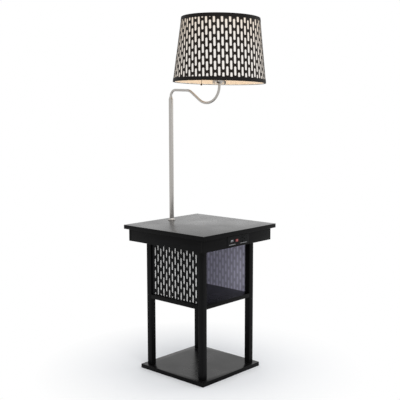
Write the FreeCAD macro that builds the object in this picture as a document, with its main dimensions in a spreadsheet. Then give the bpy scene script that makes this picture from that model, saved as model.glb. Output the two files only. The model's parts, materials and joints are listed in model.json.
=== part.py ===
"""Floor lamp standing on a small side table with an open, lattice-sided compartment.

Row frame, in millimetres: the origin is the centre of the base board's underside and +Z is up.
The front (open compartment, power panel) looks along -Y, the lamp pole stands near the rear edge,
and the lamp's arm reaches forward from the pole over the table top.
"""
import FreeCAD, Part
import math
import os
import re

import Sketcher
from FreeCAD import Placement, Rotation, Vector

# Driving sizes: alias, value, what it is. Everything below is bound to these cells.
SIZES = [
    ("base_side", 317, "base board, side of the square"),
    ("base_thickness", 15, "base board"),
    ("leg_width", 22, "square leg"),
    ("leg_length", 473, "leg, from the base board to the soffit"),
    ("leg_spread", 282, "over the outer faces of two legs"),
    ("shelf_height", 271, "underside of the compartment's floor"),
    ("shelf_thickness", 15, "compartment's floor"),
    ("apron_side", 373, "apron box, side of the square"),
    ("apron_height", 45, "apron box"),
    ("apron_wall", 12, "apron boards"),
    ("soffit_thickness", 9, "board that closes the apron box below"),
    ("top_side", 400, "table top, side of the square"),
    ("top_thickness", 15, "table top"),
    ("edge_break", 0.8, "small chamfer on the edges of the top and the base"),
    ("screw_shank_radius", 2.25, "wood screws through base and soffit"),
    ("screw_head_radius", 4.5, "their countersunk heads"),
    ("screw_head_depth", 3, "depth of the countersink"),
    ("screw_length", 42, "whole length of a wood screw"),
    ("fit_gap", 0.05, "radial gap of a close fit"),
    ("dowel_radius", 4, "wooden dowels between legs and compartment floor"),
    ("dowel_length", 30, "dowel"),
    ("panel_recess", 6, "panels lie this far inside the legs' outer faces"),
    ("skin_thickness", 3, "pierced black panel"),
    ("liner_thickness", 2, "white translucent sheet behind it"),
    ("lattice_pitch", 14.7, "from one column of slots to the next"),
    ("lattice_columns", 15, "columns of slots in a panel"),
    ("lattice_period", 42.1, "from one slot to the next in a column"),
    ("lattice_slot_width", 7.6, "slot in a panel"),
    ("lattice_slot_length", 31.5, "slot in a panel"),
    ("lattice_phase", 37.45, "centre of the first column's lowest slot above the compartment floor"),
    ("lattice_margin", 3, "least edge left round the slots"),
    ("panel_centre", -4, "power panel's centre along X"),
    ("panel_width", 118, "power panel's flange"),
    ("panel_height", 36, "power panel's flange"),
    ("panel_lip", 3, "how far the flange covers the apron round its cut-out"),
    ("panel_proud", 1.5, "flange thickness in front of the apron"),
    ("panel_level", 22, "power panel's centre above the soffit's underside"),
    ("port_level", 23, "centre of port, button and outlet above the soffit's underside"),
    ("port_place", -37, "charging port along X"),
    ("port_width", 13.2, "metal shell of the charging port"),
    ("port_height", 5.8, "metal shell of the charging port"),
    ("port_wall", 0.4, "metal shell of the charging port"),
    ("port_depth", 12, "metal shell of the charging port"),
    ("tongue_thickness", 1.8, "plastic tongue in the charging port"),
    ("button_place", -12.5, "power button along X"),
    ("button_width", 14, "power button"),
    ("button_height", 9, "power button"),
    ("button_proud", 1.8, "power button in front of the panel"),
    ("button_depth", 9, "power button behind the panel's face"),
    ("button_gap", 0.25, "running gap round the power button"),
    ("outlet_place", 26, "mains outlet along X"),
    ("outlet_width", 34, "mains outlet's face"),
    ("outlet_height", 22, "mains outlet's face"),
    ("blade_spacing", 12.7, "between the outlet's two blade slots"),
    ("blade_width", 2.2, "blade slot"),
    ("neutral_length", 8.2, "longer blade slot"),
    ("live_length", 6.8, "shorter blade slot"),
    ("blade_depth", 9, "blade slots"),
    ("earth_radius", 2.6, "earth hole"),
    ("earth_offset", 11.9, "earth hole from the blades' row"),
    ("module_depth", 26, "closed housing behind the power panel"),
    ("puck_radius", 35, "charging coil under the middle of the table top"),
    ("puck_height", 8, "charging coil"),
    ("gland_place", 60, "cord gland along X in the rear apron board"),
    ("gland_radius", 8, "gland's flange"),
    ("gland_flange", 2, "gland's flange thickness"),
    ("gland_neck", 5.5, "gland's neck in the board"),
    ("gland_bore", 3.5, "opening for the mains cord"),
    ("pole_place", 148, "pole's axis behind the table's middle"),
    ("pole_radius", 8.5, "pole"),
    ("pole_wall", 1.2, "pole"),
    ("pole_length", 460, "pole above the table top"),
    ("flange_radius", 14, "flange at the pole's foot"),
    ("flange_rim", 3, "straight rim of the flange"),
    ("flange_height", 9, "flange at the pole's foot"),
    ("flange_neck", 10.2, "flange's top, round the pole"),
    ("rod_radius", 5, "threaded rod that holds the pole"),
    ("rod_below", 12, "threaded rod below the table top"),
    ("plug_height", 15, "threaded plug in the pole's foot"),
    ("washer_radius", 15, "washer under the table top"),
    ("washer_thickness", 2, "washer under the table top"),
    ("nut_flats", 17, "hexagon nut, across flats"),
    ("nut_height", 6, "hexagon nut"),
    ("cap_skirt", 12, "reducer's skirt inside the pole"),
    ("cap_height", 11, "reducer's taper above the pole"),
    ("cap_rim", 1.5, "reducer's straight rim"),
    ("cap_neck", 6.2, "reducer's top radius"),
    ("seat_depth", 48, "from the pole's top down to the bush's floor"),
    ("seat_floor", 4, "floor of the bush that carries the arm"),
    ("seat_height", 18, "bush that carries the arm"),
    ("seat_play", 0.3, "between the arm's foot and the bush's floor"),
    ("arm_radius", 4.75, "arm tube"),
    ("arm_wall", 1, "arm tube"),
    ("arm_rise", 11.6, "straight stem above the pole's top"),
    ("arm_first_bend", 24, "bend from the stem into the run"),
    ("arm_droop", 2, "how far the run drops, in degrees"),
    ("arm_run", 59, "nearly level run"),
    ("arm_shoulder_bend", 43, "bend into the slope"),
    ("arm_slope", 33, "turn into the slope, in degrees"),
    ("arm_slope_run", 48, "straight slope"),
    ("arm_bow", 61, "bow that turns up into the lampholder"),
    ("head_lean", 1.8, "lean of the lampholder and shade to +X, in degrees"),
    ("arm_end", 4, "straight end under the lampholder"),
    ("nipple_radius", 3.7, "threaded nipple of the lampholder"),
    ("nipple_below", 4, "nipple inside the arm"),
    ("nipple_above", 16, "nipple above the arm"),
    ("saddle_thickness", 1.2, "saddle that carries the harp"),
    ("saddle_half", 30.6, "half the saddle's length"),
    ("saddle_width", 10, "saddle"),
    ("saddle_ears", 12, "saddle's turned-up ends"),
    ("cup_radius", 16, "lampholder cup"),
    ("cup_wall", 0.9, "lampholder cup"),
    ("cup_foot", 8, "cup's flat foot"),
    ("cup_flare", 9, "height of the cup's flare"),
    ("cup_height", 13, "lampholder cup"),
    ("shell_wall", 0.8, "lampholder's insulating shell"),
    ("shell_floor", 1.5, "lampholder's insulating shell"),
    ("shell_height", 46, "lampholder's insulating shell"),
    ("screw_shell_wall", 0.7, "threaded metal sleeve for the bulb"),
    ("screw_shell_height", 26, "threaded metal sleeve for the bulb"),
    ("bulb_cap_radius", 13.1, "bulb's screw cap"),
    ("bulb_cap_height", 25, "bulb's screw cap"),
    ("bulb_neck_radius", 15, "bulb's neck"),
    ("bulb_radius", 30, "bulb's globe"),
    ("bulb_length", 108, "bulb"),
    ("bulb_taper", 24, "where the neck meets the globe, in degrees below its middle"),
    ("locknut_flats", 12, "nut on the nipple inside the lampholder"),
    ("locknut_height", 3, "nut on the nipple inside the lampholder"),
    ("harp_wire", 1.6, "harp wire's radius"),
    ("harp_foot", 27, "half the distance between the harp's feet"),
    ("harp_height", 205, "top of the harp's loop above the saddle"),
    ("harp_leg", 14, "straight foot of the harp"),
    ("harp_out", 25, "turn outwards above the feet, in degrees"),
    ("harp_in", 45, "turn inwards at the widest place, in degrees"),
    ("harp_small_bend", 18, "bend above the feet"),
    ("harp_wide_bend", 50, "bend at the widest place"),
    ("harp_top_bend", 22, "bend into the top"),
    ("harp_top_flat", 5, "half the flat top"),
    ("stud_radius", 3.15, "threaded stud on the harp"),
    ("stud_length", 10, "threaded stud on the harp"),
    ("stud_collar", 6, "collar under the shade's hub"),
    ("ferrule_wall", 0.6, "sleeves on the harp's feet"),
    ("ferrule_height", 10, "sleeves on the harp's feet"),
    ("shade_drop", 4, "shade's lower edge above the arm's end"),
    ("shade_height", 222.5, "shade"),
    ("shade_bottom_radius", 166, "over the trim at the lower edge"),
    ("shade_top_radius", 140.5, "over the trim at the upper edge"),
    ("trim_thickness", 0.6, "black edge trim"),
    ("trim_height", 13, "black edge trim"),
    ("trim_turn", 3.2, "how far the trim turns in over the ring"),
    ("trim_gap", 0.15, "between the trims and the pierced sheet"),
    ("shade_skin", 0.6, "pierced black outer sheet"),
    ("shade_liner", 1, "white inner sheet"),
    ("ring_wire", 1.5, "wire of the shade's rings"),
    ("ring_gap", 0.1, "between ring and sheet"),
    ("hub_radius", 13, "hub on the harp's stud"),
    ("hub_thickness", 1.5, "hub on the harp's stud"),
    ("spoke_count", 3, "spokes of the upper ring"),
    ("spoke_drop", 2.6, "how far the spokes' ends lie under the ring's middle"),
    ("spoke_lap", 1, "how far the spokes reach past the ring's middle"),
    ("shade_pitch", 13.72, "from one column of slots to the next"),
    ("shade_period", 40, "from one slot to the next in a column"),
    ("shade_slot_width", 7.6, "slot in the shade"),
    ("shade_slot_length", 31, "slot in the shade"),
    ("shade_turn", -115.4, "azimuth of the middle of the shade's sheet, in degrees"),
    ("shade_row_phase", -1, "shift of the rows of slots"),
    ("shade_column_phase", 1.45, "shift of the columns of slots"),
    ("shade_seam", 5, "plain strip each side of the seam"),
    ("slot_edge", 4, "least edge left above and below the slots"),
    ("finial_radius", 4.8, "knob that holds the shade down"),
    ("finial_foot", 5.2, "finial's foot"),
    ("finial_height", 13.5, "finial"),
    ("guide_reach", 64, "pull chain's distance from the lampholder's axis"),
    ("guide_turn", 135, "direction of the chain's guide from +X, in degrees"),
    ("guide_level", 21, "guide above the arm's end"),
    ("guide_radius", 2, "guide's arm"),
    ("eyelet_radius", 3, "eyelet that the chain runs through"),
    ("eyelet_bore", 1.6, "eyelet that the chain runs through"),
    ("eyelet_height", 10, "eyelet that the chain runs through"),
    ("chain_radius", 1.2, "pull chain"),
    ("chain_knob", 3.4, "knob on the pull chain"),
    ("chain_drop", 4, "lowest point of the knob below the arm's end"),
]

# Places that follow from the driving sizes; each name can be used in any expression.
DERIVED = {
    "leg_top": "(base_thickness + leg_length)",
    "apron_top": "(leg_top + apron_height)",
    "table_height": "(apron_top + top_thickness)",
    "leg_place": "(leg_spread / 2 - leg_width / 2)",
    "shelf_top": "(shelf_height + shelf_thickness)",
    "bay_width": "(leg_spread - 2 * leg_width)",
    "bay_height": "(leg_top - shelf_top)",
    "skin_place": "(leg_spread / 2 - panel_recess)",
    "apron_face": "(apron_side / 2)",
    "panel_z": "(leg_top + panel_level)",
    "port_z": "(leg_top + port_level)",
    "cutout_width": "(panel_width - 2 * panel_lip)",
    "cutout_height": "(panel_height - 2 * panel_lip)",
    "pole_bore": "(pole_radius - pole_wall)",
    "pole_top": "(table_height + pole_length)",
    "arm_foot": "(pole_top - seat_depth + seat_play)",
    "dip": "((arm_droop + arm_slope) * 1 deg)",
    "arm_reach": "(arm_first_bend * (1 + sin(arm_droop * 1 deg)) + arm_run * cos(arm_droop * 1 deg)"
                 " + arm_shoulder_bend * (sin(dip) - sin(arm_droop * 1 deg))"
                 " + arm_slope_run * cos(dip) + arm_bow * (1 + sin(dip)))",
    "bow_end": "(pole_top + arm_rise + arm_first_bend * cos(arm_droop * 1 deg)"
               " - arm_run * sin(arm_droop * 1 deg)"
               " - arm_shoulder_bend * (cos(arm_droop * 1 deg) - cos(dip))"
               " - arm_slope_run * sin(dip) + arm_bow * cos(dip))",
    "head_x": "(arm_bow * (1 - cos(head_lean * 1 deg)) + arm_end * sin(head_lean * 1 deg))",
    "head_y": "(pole_place - arm_reach)",
    "head_z": "(bow_end + arm_bow * sin(head_lean * 1 deg) + arm_end * cos(head_lean * 1 deg))",
    "shell_bottom": "(saddle_thickness + cup_flare)",
    "shell_top": "(shell_bottom + shell_height)",
    "shell_outer": "(cup_radius - cup_wall - fit_gap)",
    "shell_inner": "(shell_outer - shell_wall)",
    "sleeve_outer": "(shell_inner - fit_gap)",
    "sleeve_inner": "(sleeve_outer - screw_shell_wall)",
    "bulb_foot": "(shell_top - bulb_cap_height)",
    "globe_centre": "(bulb_foot + bulb_length - bulb_radius)",
    "shade_slope": "((shade_bottom_radius - shade_top_radius) / shade_height)",
    "shade_top": "(shade_drop + shade_height)",
    "fold_bottom": "(shade_drop + trim_thickness)",
    "fold_top": "(shade_top - trim_thickness)",
    "skin_bottom_z": "(fold_bottom + fit_gap)",
    "skin_top_z": "(fold_top - fit_gap)",
    "skin_bottom_radius": "(shade_bottom_radius - trim_thickness - trim_gap - trim_thickness * shade_slope)",
    "skin_top_radius": "(shade_top_radius - trim_thickness - trim_gap + trim_thickness * shade_slope)",
    "sheets": "(shade_skin + shade_liner)",
    "ring_top_z": "(shade_top - trim_thickness - ring_gap - ring_wire)",
    "ring_bottom_z": "(shade_drop + trim_thickness + ring_gap + ring_wire)",
    "ring_inset": "(trim_thickness + sheets + ring_gap + ring_wire)",
    "ring_top_radius": "(shade_top_radius - ring_inset)",
    "ring_bottom_radius": "(shade_bottom_radius - ring_inset - 2 * ring_wire * shade_slope - ring_gap)",
    "trim_top_inner": "(ring_top_radius - ring_wire - ring_gap - trim_thickness)",
    "trim_bottom_inner": "(ring_bottom_radius - ring_wire - ring_gap - trim_thickness)",
    "collar_top": "(harp_height + 2 * harp_wire)",
    "finial_bottom": "(collar_top + hub_thickness)",
}

doc = FreeCAD.newDocument("LampTable")
sheet = doc.addObject("Spreadsheet::Sheet", "Sizes")
for line, (alias, number, note) in enumerate(SIZES, start=1):
    sheet.set(f"A{line}", note)
    sheet.set(f"B{line}", str(number))
    sheet.setAlias(f"B{line}", alias)
doc.recompute()

ALIASES = {alias for alias, _, _ in SIZES}
WORD = re.compile(r"[A-Za-z_]\w*")
nodes = []


def link(text):
    """Write an expression out in the sheet's cells."""
    def swap(match):
        word = match.group(0)
        if word in DERIVED:
            return link(DERIVED[word])
        return f"Sizes.{word}" if word in ALIASES else word
    return WORD.sub(swap, str(text))


def value(text):
    """Number that an expression gives now."""
    result = sheet.evalExpression(link(text))
    return float(getattr(result, "Value", result))


def bind(thing, **properties):
    """Tie properties of an object to expressions."""
    for name, text in properties.items():
        thing.setExpression(name.replace("__", "."), link(text))
    return thing


def put(thing, x="0", y="0", z="0"):
    """Tie an object's place to expressions."""
    return bind(thing, Placement__Base__x=x, Placement__Base__y=y, Placement__Base__z=z)


def on_head(thing):
    """Place an object whose shape is drawn about the end of the arm, with the head's lean."""
    thing.Placement = Placement(Vector(), Rotation(Vector(0, 1, 0), 1))
    put(thing, "head_x", "head_y", "head_z")
    return bind(thing, Placement__Rotation__Angle="head_lean * 1 deg")


def keep(thing, label=None):
    """Hand a finished piece over as a node of the part."""
    thing.Label = label or thing.Name
    nodes.append(thing)
    return thing


# ---- drawing tools -------------------------------------------------------------------------

def new_body(name):
    """Empty body for a piece that is made by sketches and features."""
    body = doc.addObject("PartDesign::Body", name)
    body.Label = name
    return body


def new_sketch(body, name, plane, level=None):
    """Sketch on one of the body's own planes, lifted along the plane's normal to a level."""
    sketch = body.newObject("Sketcher::SketchObject", name)
    support = next(item for item in body.Origin.OriginFeatures if item.Role == plane)
    sketch.AttachmentSupport = [(support, "")]
    sketch.MapMode = "FlatFace"
    if level is not None:
        bind(sketch, AttachmentOffset__Base__z=level)
    return sketch


def pin_value(sketch, constraint, text):
    """Add a size to a sketch and tie it to an expression."""
    index = sketch.addConstraint(constraint)
    name = f"size_{index}"
    sketch.renameConstraint(index, name)
    bind(sketch, **{f"Constraints__{name}": text})


def pin_point(sketch, piece, end, x, y):
    """Hold one point of a sketch at a place given by expressions."""
    for kind, text, axis in (("DistanceX", x, -2), ("DistanceY", y, -1)):
        if abs(value(text)) < 1e-9:
            sketch.addConstraint(Sketcher.Constraint("PointOnObject", piece, end, axis))
        else:
            pin_value(sketch, Sketcher.Constraint(kind, -1, 1, piece, end, value(text)), text)


def arc_between(here, there, radius, side):
    """Arc of a radius, its centre on the left (side 1) or right (-1) of the way along it."""
    chord = there - here
    left = Vector(-chord.y, chord.x, 0).normalize()
    depth = math.sqrt(max(radius ** 2 - chord.Length ** 2 / 4, 0))
    centre = (here + there) * 0.5 + left * (side * depth)
    first, last = (here, there) if side > 0 else (there, here)
    start = math.atan2(first.y - centre.y, first.x - centre.x)
    stop = math.atan2(last.y - centre.y, last.x - centre.x)
    if stop < start:
        stop += 2 * math.pi
    return Part.ArcOfCircle(Part.Circle(centre, Vector(0, 0, 1), radius), start, stop)


def add_outline(sketch, points):
    """Closed outline. A point is (x, y), or (x, y, radius, side) where an arc leaves it."""
    spots = [Vector(value(point[0]), value(point[1]), 0) for point in points]
    first_piece = sketch.GeometryCount
    ends = []
    for index, point in enumerate(points):
        here, there = spots[index], spots[(index + 1) % len(points)]
        if len(point) == 2:
            sketch.addGeometry(Part.LineSegment(here, there), False)
            ends.append((1, 2))
        else:
            sketch.addGeometry(arc_between(here, there, value(point[2]), point[3]), False)
            ends.append((1, 2) if point[3] > 0 else (2, 1))
    for index, point in enumerate(points):
        piece = first_piece + index
        after = (index + 1) % len(points)
        sketch.addConstraint(Sketcher.Constraint("Coincident", piece, ends[index][1],
                                                 first_piece + after, ends[after][0]))
    for index, point in enumerate(points):
        piece = first_piece + index
        pin_point(sketch, piece, ends[index][0], point[0], point[1])
        if len(point) == 4:
            pin_value(sketch, Sketcher.Constraint("Radius", piece, value(point[2])), point[2])
    return sketch


def add_rectangle(sketch, x, y, width, height):
    """Rectangle about a centre."""
    low_x, high_x = f"({x}) - ({width}) / 2", f"({x}) + ({width}) / 2"
    low_y, high_y = f"({y}) - ({height}) / 2", f"({y}) + ({height}) / 2"
    return add_outline(sketch, [(low_x, low_y), (high_x, low_y), (high_x, high_y), (low_x, high_y)])


def add_circle(sketch, x, y, radius):
    """Circle about a centre."""
    circle = Part.Circle(Vector(value(x), value(y), 0), Vector(0, 0, 1), value(radius))
    piece = sketch.addGeometry(circle, False)
    pin_point(sketch, piece, 3, x, y)
    pin_value(sketch, Sketcher.Constraint("Radius", piece, value(radius)), radius)
    return sketch


def add_pad(body, sketch, length, middle=False):
    """Extrude a sketch along its normal, or to both sides of it."""
    pad = body.newObject("PartDesign::Pad", f"{body.Name}_pad")
    pad.Profile = sketch
    pad.Midplane = middle
    bind(pad, Length=length)
    doc.recompute()
    return pad


def add_pocket(body, sketch, depth, upwards=False):
    """Cut a sketch into the body, against the sketch's normal or, upwards, along it."""
    before = body.Shape.Volume
    pocket = body.newObject("PartDesign::Pocket", f"{body.Name}_pocket")
    pocket.Profile = sketch
    pocket.Reversed = upwards
    bind(pocket, Length=depth)
    doc.recompute()
    if not body.Shape.Volume < before:
        raise RuntimeError(f"a pocket of {body.Name} cuts nothing")
    return pocket


def turned(name, outline):
    """Piece turned about its own Z axis from an outline of (radius, height) points."""
    body = new_body(name)
    sketch = add_outline(new_sketch(body, f"{name}_outline", "XZ_Plane"), outline)
    turn = body.newObject("PartDesign::Revolution", f"{name}_turn")
    turn.Profile = sketch
    turn.ReferenceAxis = (sketch, ["V_Axis"])
    turn.Angle = 360
    return body


def tube_outline(inner, outer, low, high):
    """Outline of a plain sleeve."""
    return [(inner, low), (outer, low), (outer, high), (inner, high)]


def block(name, width, depth, height, x, y, z):
    """Rectangular board centred on x and y, standing on z."""
    box = doc.addObject("Part::Box", name)
    bind(box, Length=width, Width=depth, Height=height)
    return put(box, f"({x}) - ({width}) / 2", f"({y}) - ({depth}) / 2", z)


def compound(name, shapes):
    """One node made of several like pieces."""
    feature = doc.addObject("Part::Feature", name)
    feature.Shape = Part.makeCompound(shapes) if len(shapes) > 1 else shapes[0]
    return feature


def turtle(start, heading, steps):
    """Edges of a smooth path in a plane: each step is a run (length,) or a bend (radius, turn).

    The plane's two axes are the vector's x and y; angles are in degrees, a left turn positive.
    """
    edges = []
    here = Vector(start.x, start.y, 0)
    for step in steps:
        if len(step) == 1:
            angle = math.radians(heading)
            there = here + Vector(math.cos(angle), math.sin(angle), 0) * step[0]
            edges.append(Part.LineSegment(here, there))
        else:
            radius, turn = step
            side = math.copysign(1, turn)
            across = math.radians(heading + 90 * side)
            centre = here + Vector(math.cos(across), math.sin(across), 0) * radius
            spoke = here - centre
            half = Rotation(Vector(0, 0, 1), turn / 2).multVec(spoke) + centre
            there = Rotation(Vector(0, 0, 1), turn).multVec(spoke) + centre
            edges.append(Part.Arc(here, half, there))
            heading += turn
        here = there
    return [edge.toShape() for edge in edges], here


def sweep_disc(wire, radius, start, direction):
    """Round bar of a radius along a wire."""
    ring = Part.Wire(Part.Circle(start, direction, radius).toShape())
    return wire.makePipeShell([ring], True, False)


# ---- table -----------------------------------------------------------------------------------

LEG_SIGNS = {"front_left": (-1, -1), "front_right": (1, -1), "rear_left": (-1, 1), "rear_right": (1, 1)}
CLEAR_SHANK = "screw_shank_radius + fit_gap"


def chamfered_board(name, side, thickness):
    """Square board with its long edges broken, standing on its own XY plane."""
    body = new_body(name)
    add_pad(body, add_rectangle(new_sketch(body, f"{name}_outline", "XY_Plane"), "0", "0", side, side), thickness)
    pad = body.Tip
    flat = [f"Edge{i + 1}" for i, edge in enumerate(pad.Shape.Edges)
            if abs(edge.Vertexes[0].Z - edge.Vertexes[-1].Z) < 1e-6]
    chamfer = body.newObject("PartDesign::Chamfer", f"{name}_chamfer")
    chamfer.Base = (pad, flat)
    bind(chamfer, Size="edge_break")
    doc.recompute()
    return body


def make_base_board():
    """Base board with countersunk holes for the leg screws."""
    body = chamfered_board("base_board", "base_side", "base_thickness")
    holes = new_sketch(body, "base_board_holes", "XY_Plane")
    for side_x, side_y in LEG_SIGNS.values():
        add_circle(holes, f"{side_x} * leg_place", f"{side_y} * leg_place", CLEAR_SHANK)
    add_pocket(body, holes, "base_thickness", upwards=True)
    for index, (side_x, side_y) in enumerate(LEG_SIGNS.values()):
        sink = body.newObject("PartDesign::SubtractiveCone", f"base_board_sink{index}")
        bind(sink, Radius1="screw_head_radius + fit_gap", Radius2=CLEAR_SHANK, Height="screw_head_depth")
        put(sink, f"{side_x} * leg_place", f"{side_y} * leg_place", "0")
    return keep(body)


def make_leg(name, side_x, side_y):
    """Square leg with a screw hole in each end and a dowel hole towards the compartment floor."""
    body = new_body(f"leg_{name}")
    outline = new_sketch(body, f"leg_{name}_outline", "XY_Plane")
    add_pad(body, add_rectangle(outline, "0", "0", "leg_width", "leg_width"), "leg_length")
    depth = "screw_length - base_thickness + 1"
    foot = add_circle(new_sketch(body, f"leg_{name}_foot", "XY_Plane"), "0", "0", CLEAR_SHANK)
    add_pocket(body, foot, depth, upwards=True)
    head = add_circle(new_sketch(body, f"leg_{name}_head", "XY_Plane", "leg_length"), "0", "0", CLEAR_SHANK)
    add_pocket(body, head, "screw_length - soffit_thickness + 1")
    side = new_sketch(body, f"leg_{name}_dowel", "YZ_Plane", f"{-side_x} * leg_width / 2")
    add_circle(side, "0", "shelf_height + shelf_thickness / 2 - base_thickness", "dowel_radius + fit_gap")
    add_pocket(body, side, "dowel_length / 2", upwards=side_x > 0)
    return keep(put(body, f"{side_x} * leg_place", f"{side_y} * leg_place", "base_thickness"))


def make_shelf_board():
    """Compartment floor: a square board notched round the four legs, drilled for the dowels."""
    body = new_body("shelf_board")
    half, notch = "leg_spread / 2", "(leg_spread / 2 - leg_width)"
    corners = [(f"-{notch}", f"-{half}"), (notch, f"-{half}"), (notch, f"-{notch}"), (half, f"-{notch}"),
               (half, notch), (notch, notch), (notch, half), (f"-{notch}", half),
               (f"-{notch}", notch), (f"-{half}", notch), (f"-{half}", f"-{notch}"), (f"-{notch}", f"-{notch}")]
    add_pad(body, add_outline(new_sketch(body, "shelf_board_outline", "XY_Plane"), corners), "shelf_thickness")
    for side in (-1, 1):
        edge = new_sketch(body, f"shelf_board_dowels{side}".replace("-", "m"), "YZ_Plane", f"{side} * {notch}")
        for row in (-1, 1):
            add_circle(edge, f"{row} * leg_place", "shelf_thickness / 2", "dowel_radius + fit_gap")
        add_pocket(body, edge, "dowel_length / 2", upwards=side < 0)
    return keep(put(body, z="shelf_height"))


def make_dowels():
    """Four wooden dowels, two in each side of the compartment floor."""
    reach = value("leg_spread / 2 - leg_width")
    length, radius = value("dowel_length"), value("dowel_radius")
    pieces = [Part.makeCylinder(radius, length - 1, Vector(side * reach - (length - 1) / 2, row * value("leg_place"),
                                value("shelf_height + shelf_thickness / 2")), Vector(1, 0, 0))
              for side in (-1, 1) for row in (-1, 1)]
    return keep(compound("shelf_dowels", pieces))


def wood_screw(head_radius, head_depth, shank_radius, length):
    """Countersunk screw, head down on the XY plane, shank up, with a cross recess."""
    tip = shank_radius * 1.6
    head = Part.makeCone(head_radius, shank_radius, head_depth)
    shank = Part.makeCylinder(shank_radius, length - head_depth - tip, Vector(0, 0, head_depth))
    point = Part.makeCone(shank_radius, shank_radius * 0.2, tip, Vector(0, 0, length - tip))
    recess = [Part.makeBox(4.4 - 3.4 * turn, 1 + 3.4 * turn, 1.4, Vector(-2.2 + 1.7 * turn, -0.5 - 1.7 * turn, 0))
              for turn in (0, 1)]
    return head.fuse([shank, point]).cut(recess)


def make_screws(name, flip, level):
    """Four screws on the legs' axes, pointing up, or down where they come from the apron box."""
    shapes = []
    for side_x, side_y in LEG_SIGNS.values():
        screw = wood_screw(value("screw_head_radius"), value("screw_head_depth"),
                           value("screw_shank_radius"), value("screw_length"))
        turn = Rotation(Vector(1, 0, 0), 180 if flip else 0)
        place = Vector(side_x * value("leg_place"), side_y * value("leg_place"), value(level))
        screw.Placement = Placement(place, turn)
        shapes.append(screw)
    return keep(compound(name, shapes))


def make_soffit_board():
    """Board that closes the apron box below and rests on the legs."""
    body = new_body("soffit_board")
    inner = "apron_side - 2 * apron_wall"
    add_pad(body, add_rectangle(new_sketch(body, "soffit_outline", "XY_Plane"), "0", "0", inner, inner),
            "soffit_thickness")
    holes = new_sketch(body, "soffit_holes", "XY_Plane")
    for side_x, side_y in LEG_SIGNS.values():
        add_circle(holes, f"{side_x} * leg_place", f"{side_y} * leg_place", CLEAR_SHANK)
    add_pocket(body, holes, "soffit_thickness", upwards=True)
    for index, (side_x, side_y) in enumerate(LEG_SIGNS.values()):
        sink = body.newObject("PartDesign::SubtractiveCone", f"soffit_board_sink{index}")
        bind(sink, Radius1=CLEAR_SHANK, Radius2="screw_head_radius + fit_gap", Height="screw_head_depth")
        put(sink, f"{side_x} * leg_place", f"{side_y} * leg_place", "soffit_thickness - screw_head_depth")
    return keep(put(body, z="leg_top"))


def make_apron():
    """Four boards under the top; the front one is cut out for the power panel, the rear one for the gland."""
    inner = "(apron_side - 2 * apron_wall)"
    middle = "(apron_side / 2 - apron_wall / 2)"
    for name, side in (("apron_left", -1), ("apron_right", 1)):
        keep(block(name, "apron_wall", inner, "apron_height", f"{side} * {middle}", "0", "leg_top"))

    front = new_body("apron_front")
    outline = add_rectangle(new_sketch(front, "apron_front_outline", "XZ_Plane"),
                            "0", "apron_height / 2", "apron_side", "apron_height")
    add_pad(front, outline, "apron_wall", middle=True)
    window = add_rectangle(new_sketch(front, "apron_front_window", "XZ_Plane", "-apron_wall / 2"),
                           "panel_centre", "panel_level", "cutout_width", "cutout_height")
    add_pocket(front, window, "apron_wall", upwards=True)
    keep(put(front, "0", f"-{middle}", "leg_top"))

    rear = new_body("apron_rear")
    outline = add_rectangle(new_sketch(rear, "apron_rear_outline", "XZ_Plane"),
                            "0", "apron_height / 2", "apron_side", "apron_height")
    add_pad(rear, outline, "apron_wall", middle=True)
    hole = add_circle(new_sketch(rear, "apron_rear_hole", "XZ_Plane", "-apron_wall / 2"),
                      "gland_place", "apron_height / 2", "gland_neck + fit_gap")
    add_pocket(rear, hole, "apron_wall", upwards=True)
    keep(put(rear, "0", middle, "leg_top"))


def make_table_top():
    """Top board with the hole for the pole's threaded rod."""
    body = chamfered_board("table_top", "top_side", "top_thickness")
    hole = add_circle(new_sketch(body, "table_top_hole", "XY_Plane"), "0", "pole_place", "rod_radius + fit_gap")
    add_pocket(body, hole, "top_thickness", upwards=True)
    return keep(put(body, z="apron_top"))


# ---- lattice panels --------------------------------------------------------------------------

def panel_slots():
    """Cutters for one panel: columns of upright slots, every second column half a period up."""
    width, length = value("lattice_slot_width"), value("lattice_slot_length")
    columns, pitch, period = int(value("lattice_columns")), value("lattice_pitch"), value("lattice_period")
    margin, height = value("lattice_margin"), value("bay_height")
    half_bay = value("bay_width") / 2
    cutters = []
    for column in range(columns):
        x = (column - (columns - 1) / 2) * pitch
        if abs(x) + width / 2 > half_bay - margin:
            continue
        row = value("lattice_phase") + (period / 2 if column % 2 else 0) - period
        while row - length / 2 < height - margin:
            low, high = max(row - length / 2, margin), min(row + length / 2, height - margin)
            if high - low > width / 2:
                cutters.append(Part.makeBox(width, 3 * value("skin_thickness"), high - low,
                                            Vector(x - width / 2, -value("skin_thickness"), low)))
            row += period
    return cutters


def make_panels():
    """Pierced skin and plain liner on the left, right and rear of the compartment."""
    blank = doc.addObject("Part::Box", "panel_blank")
    bind(blank, Length="bay_width", Width="skin_thickness", Height="bay_height")
    put(blank, "-bay_width / 2", "0", "0")
    cutters = compound("panel_slots", panel_slots())
    sides = {"left": (-90, "-skin_place", "0"), "right": (90, "skin_place", "0"), "rear": (180, "0", "skin_place")}
    for name, (turn, x, y) in sides.items():
        skin = doc.addObject("Part::Cut", f"lattice_{name}")
        skin.Base, skin.Tool = blank, cutters
        skin.Placement = Placement(Vector(), Rotation(Vector(0, 0, 1), turn))
        keep(put(skin, x, y, "shelf_top"))
        inside = "(skin_place - skin_thickness - liner_thickness / 2)"
        sign = {"left": -1, "right": 1, "rear": 1}[name]
        if name == "rear":
            liner = block("liner_rear", "bay_width", "liner_thickness", "bay_height", "0", inside, "shelf_top")
        else:
            liner = block(f"liner_{name}", "liner_thickness", "bay_width", "bay_height",
                          f"{sign} * {inside}", "0", "shelf_top")
        keep(liner)


# ---- power panel -----------------------------------------------------------------------------

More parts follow.
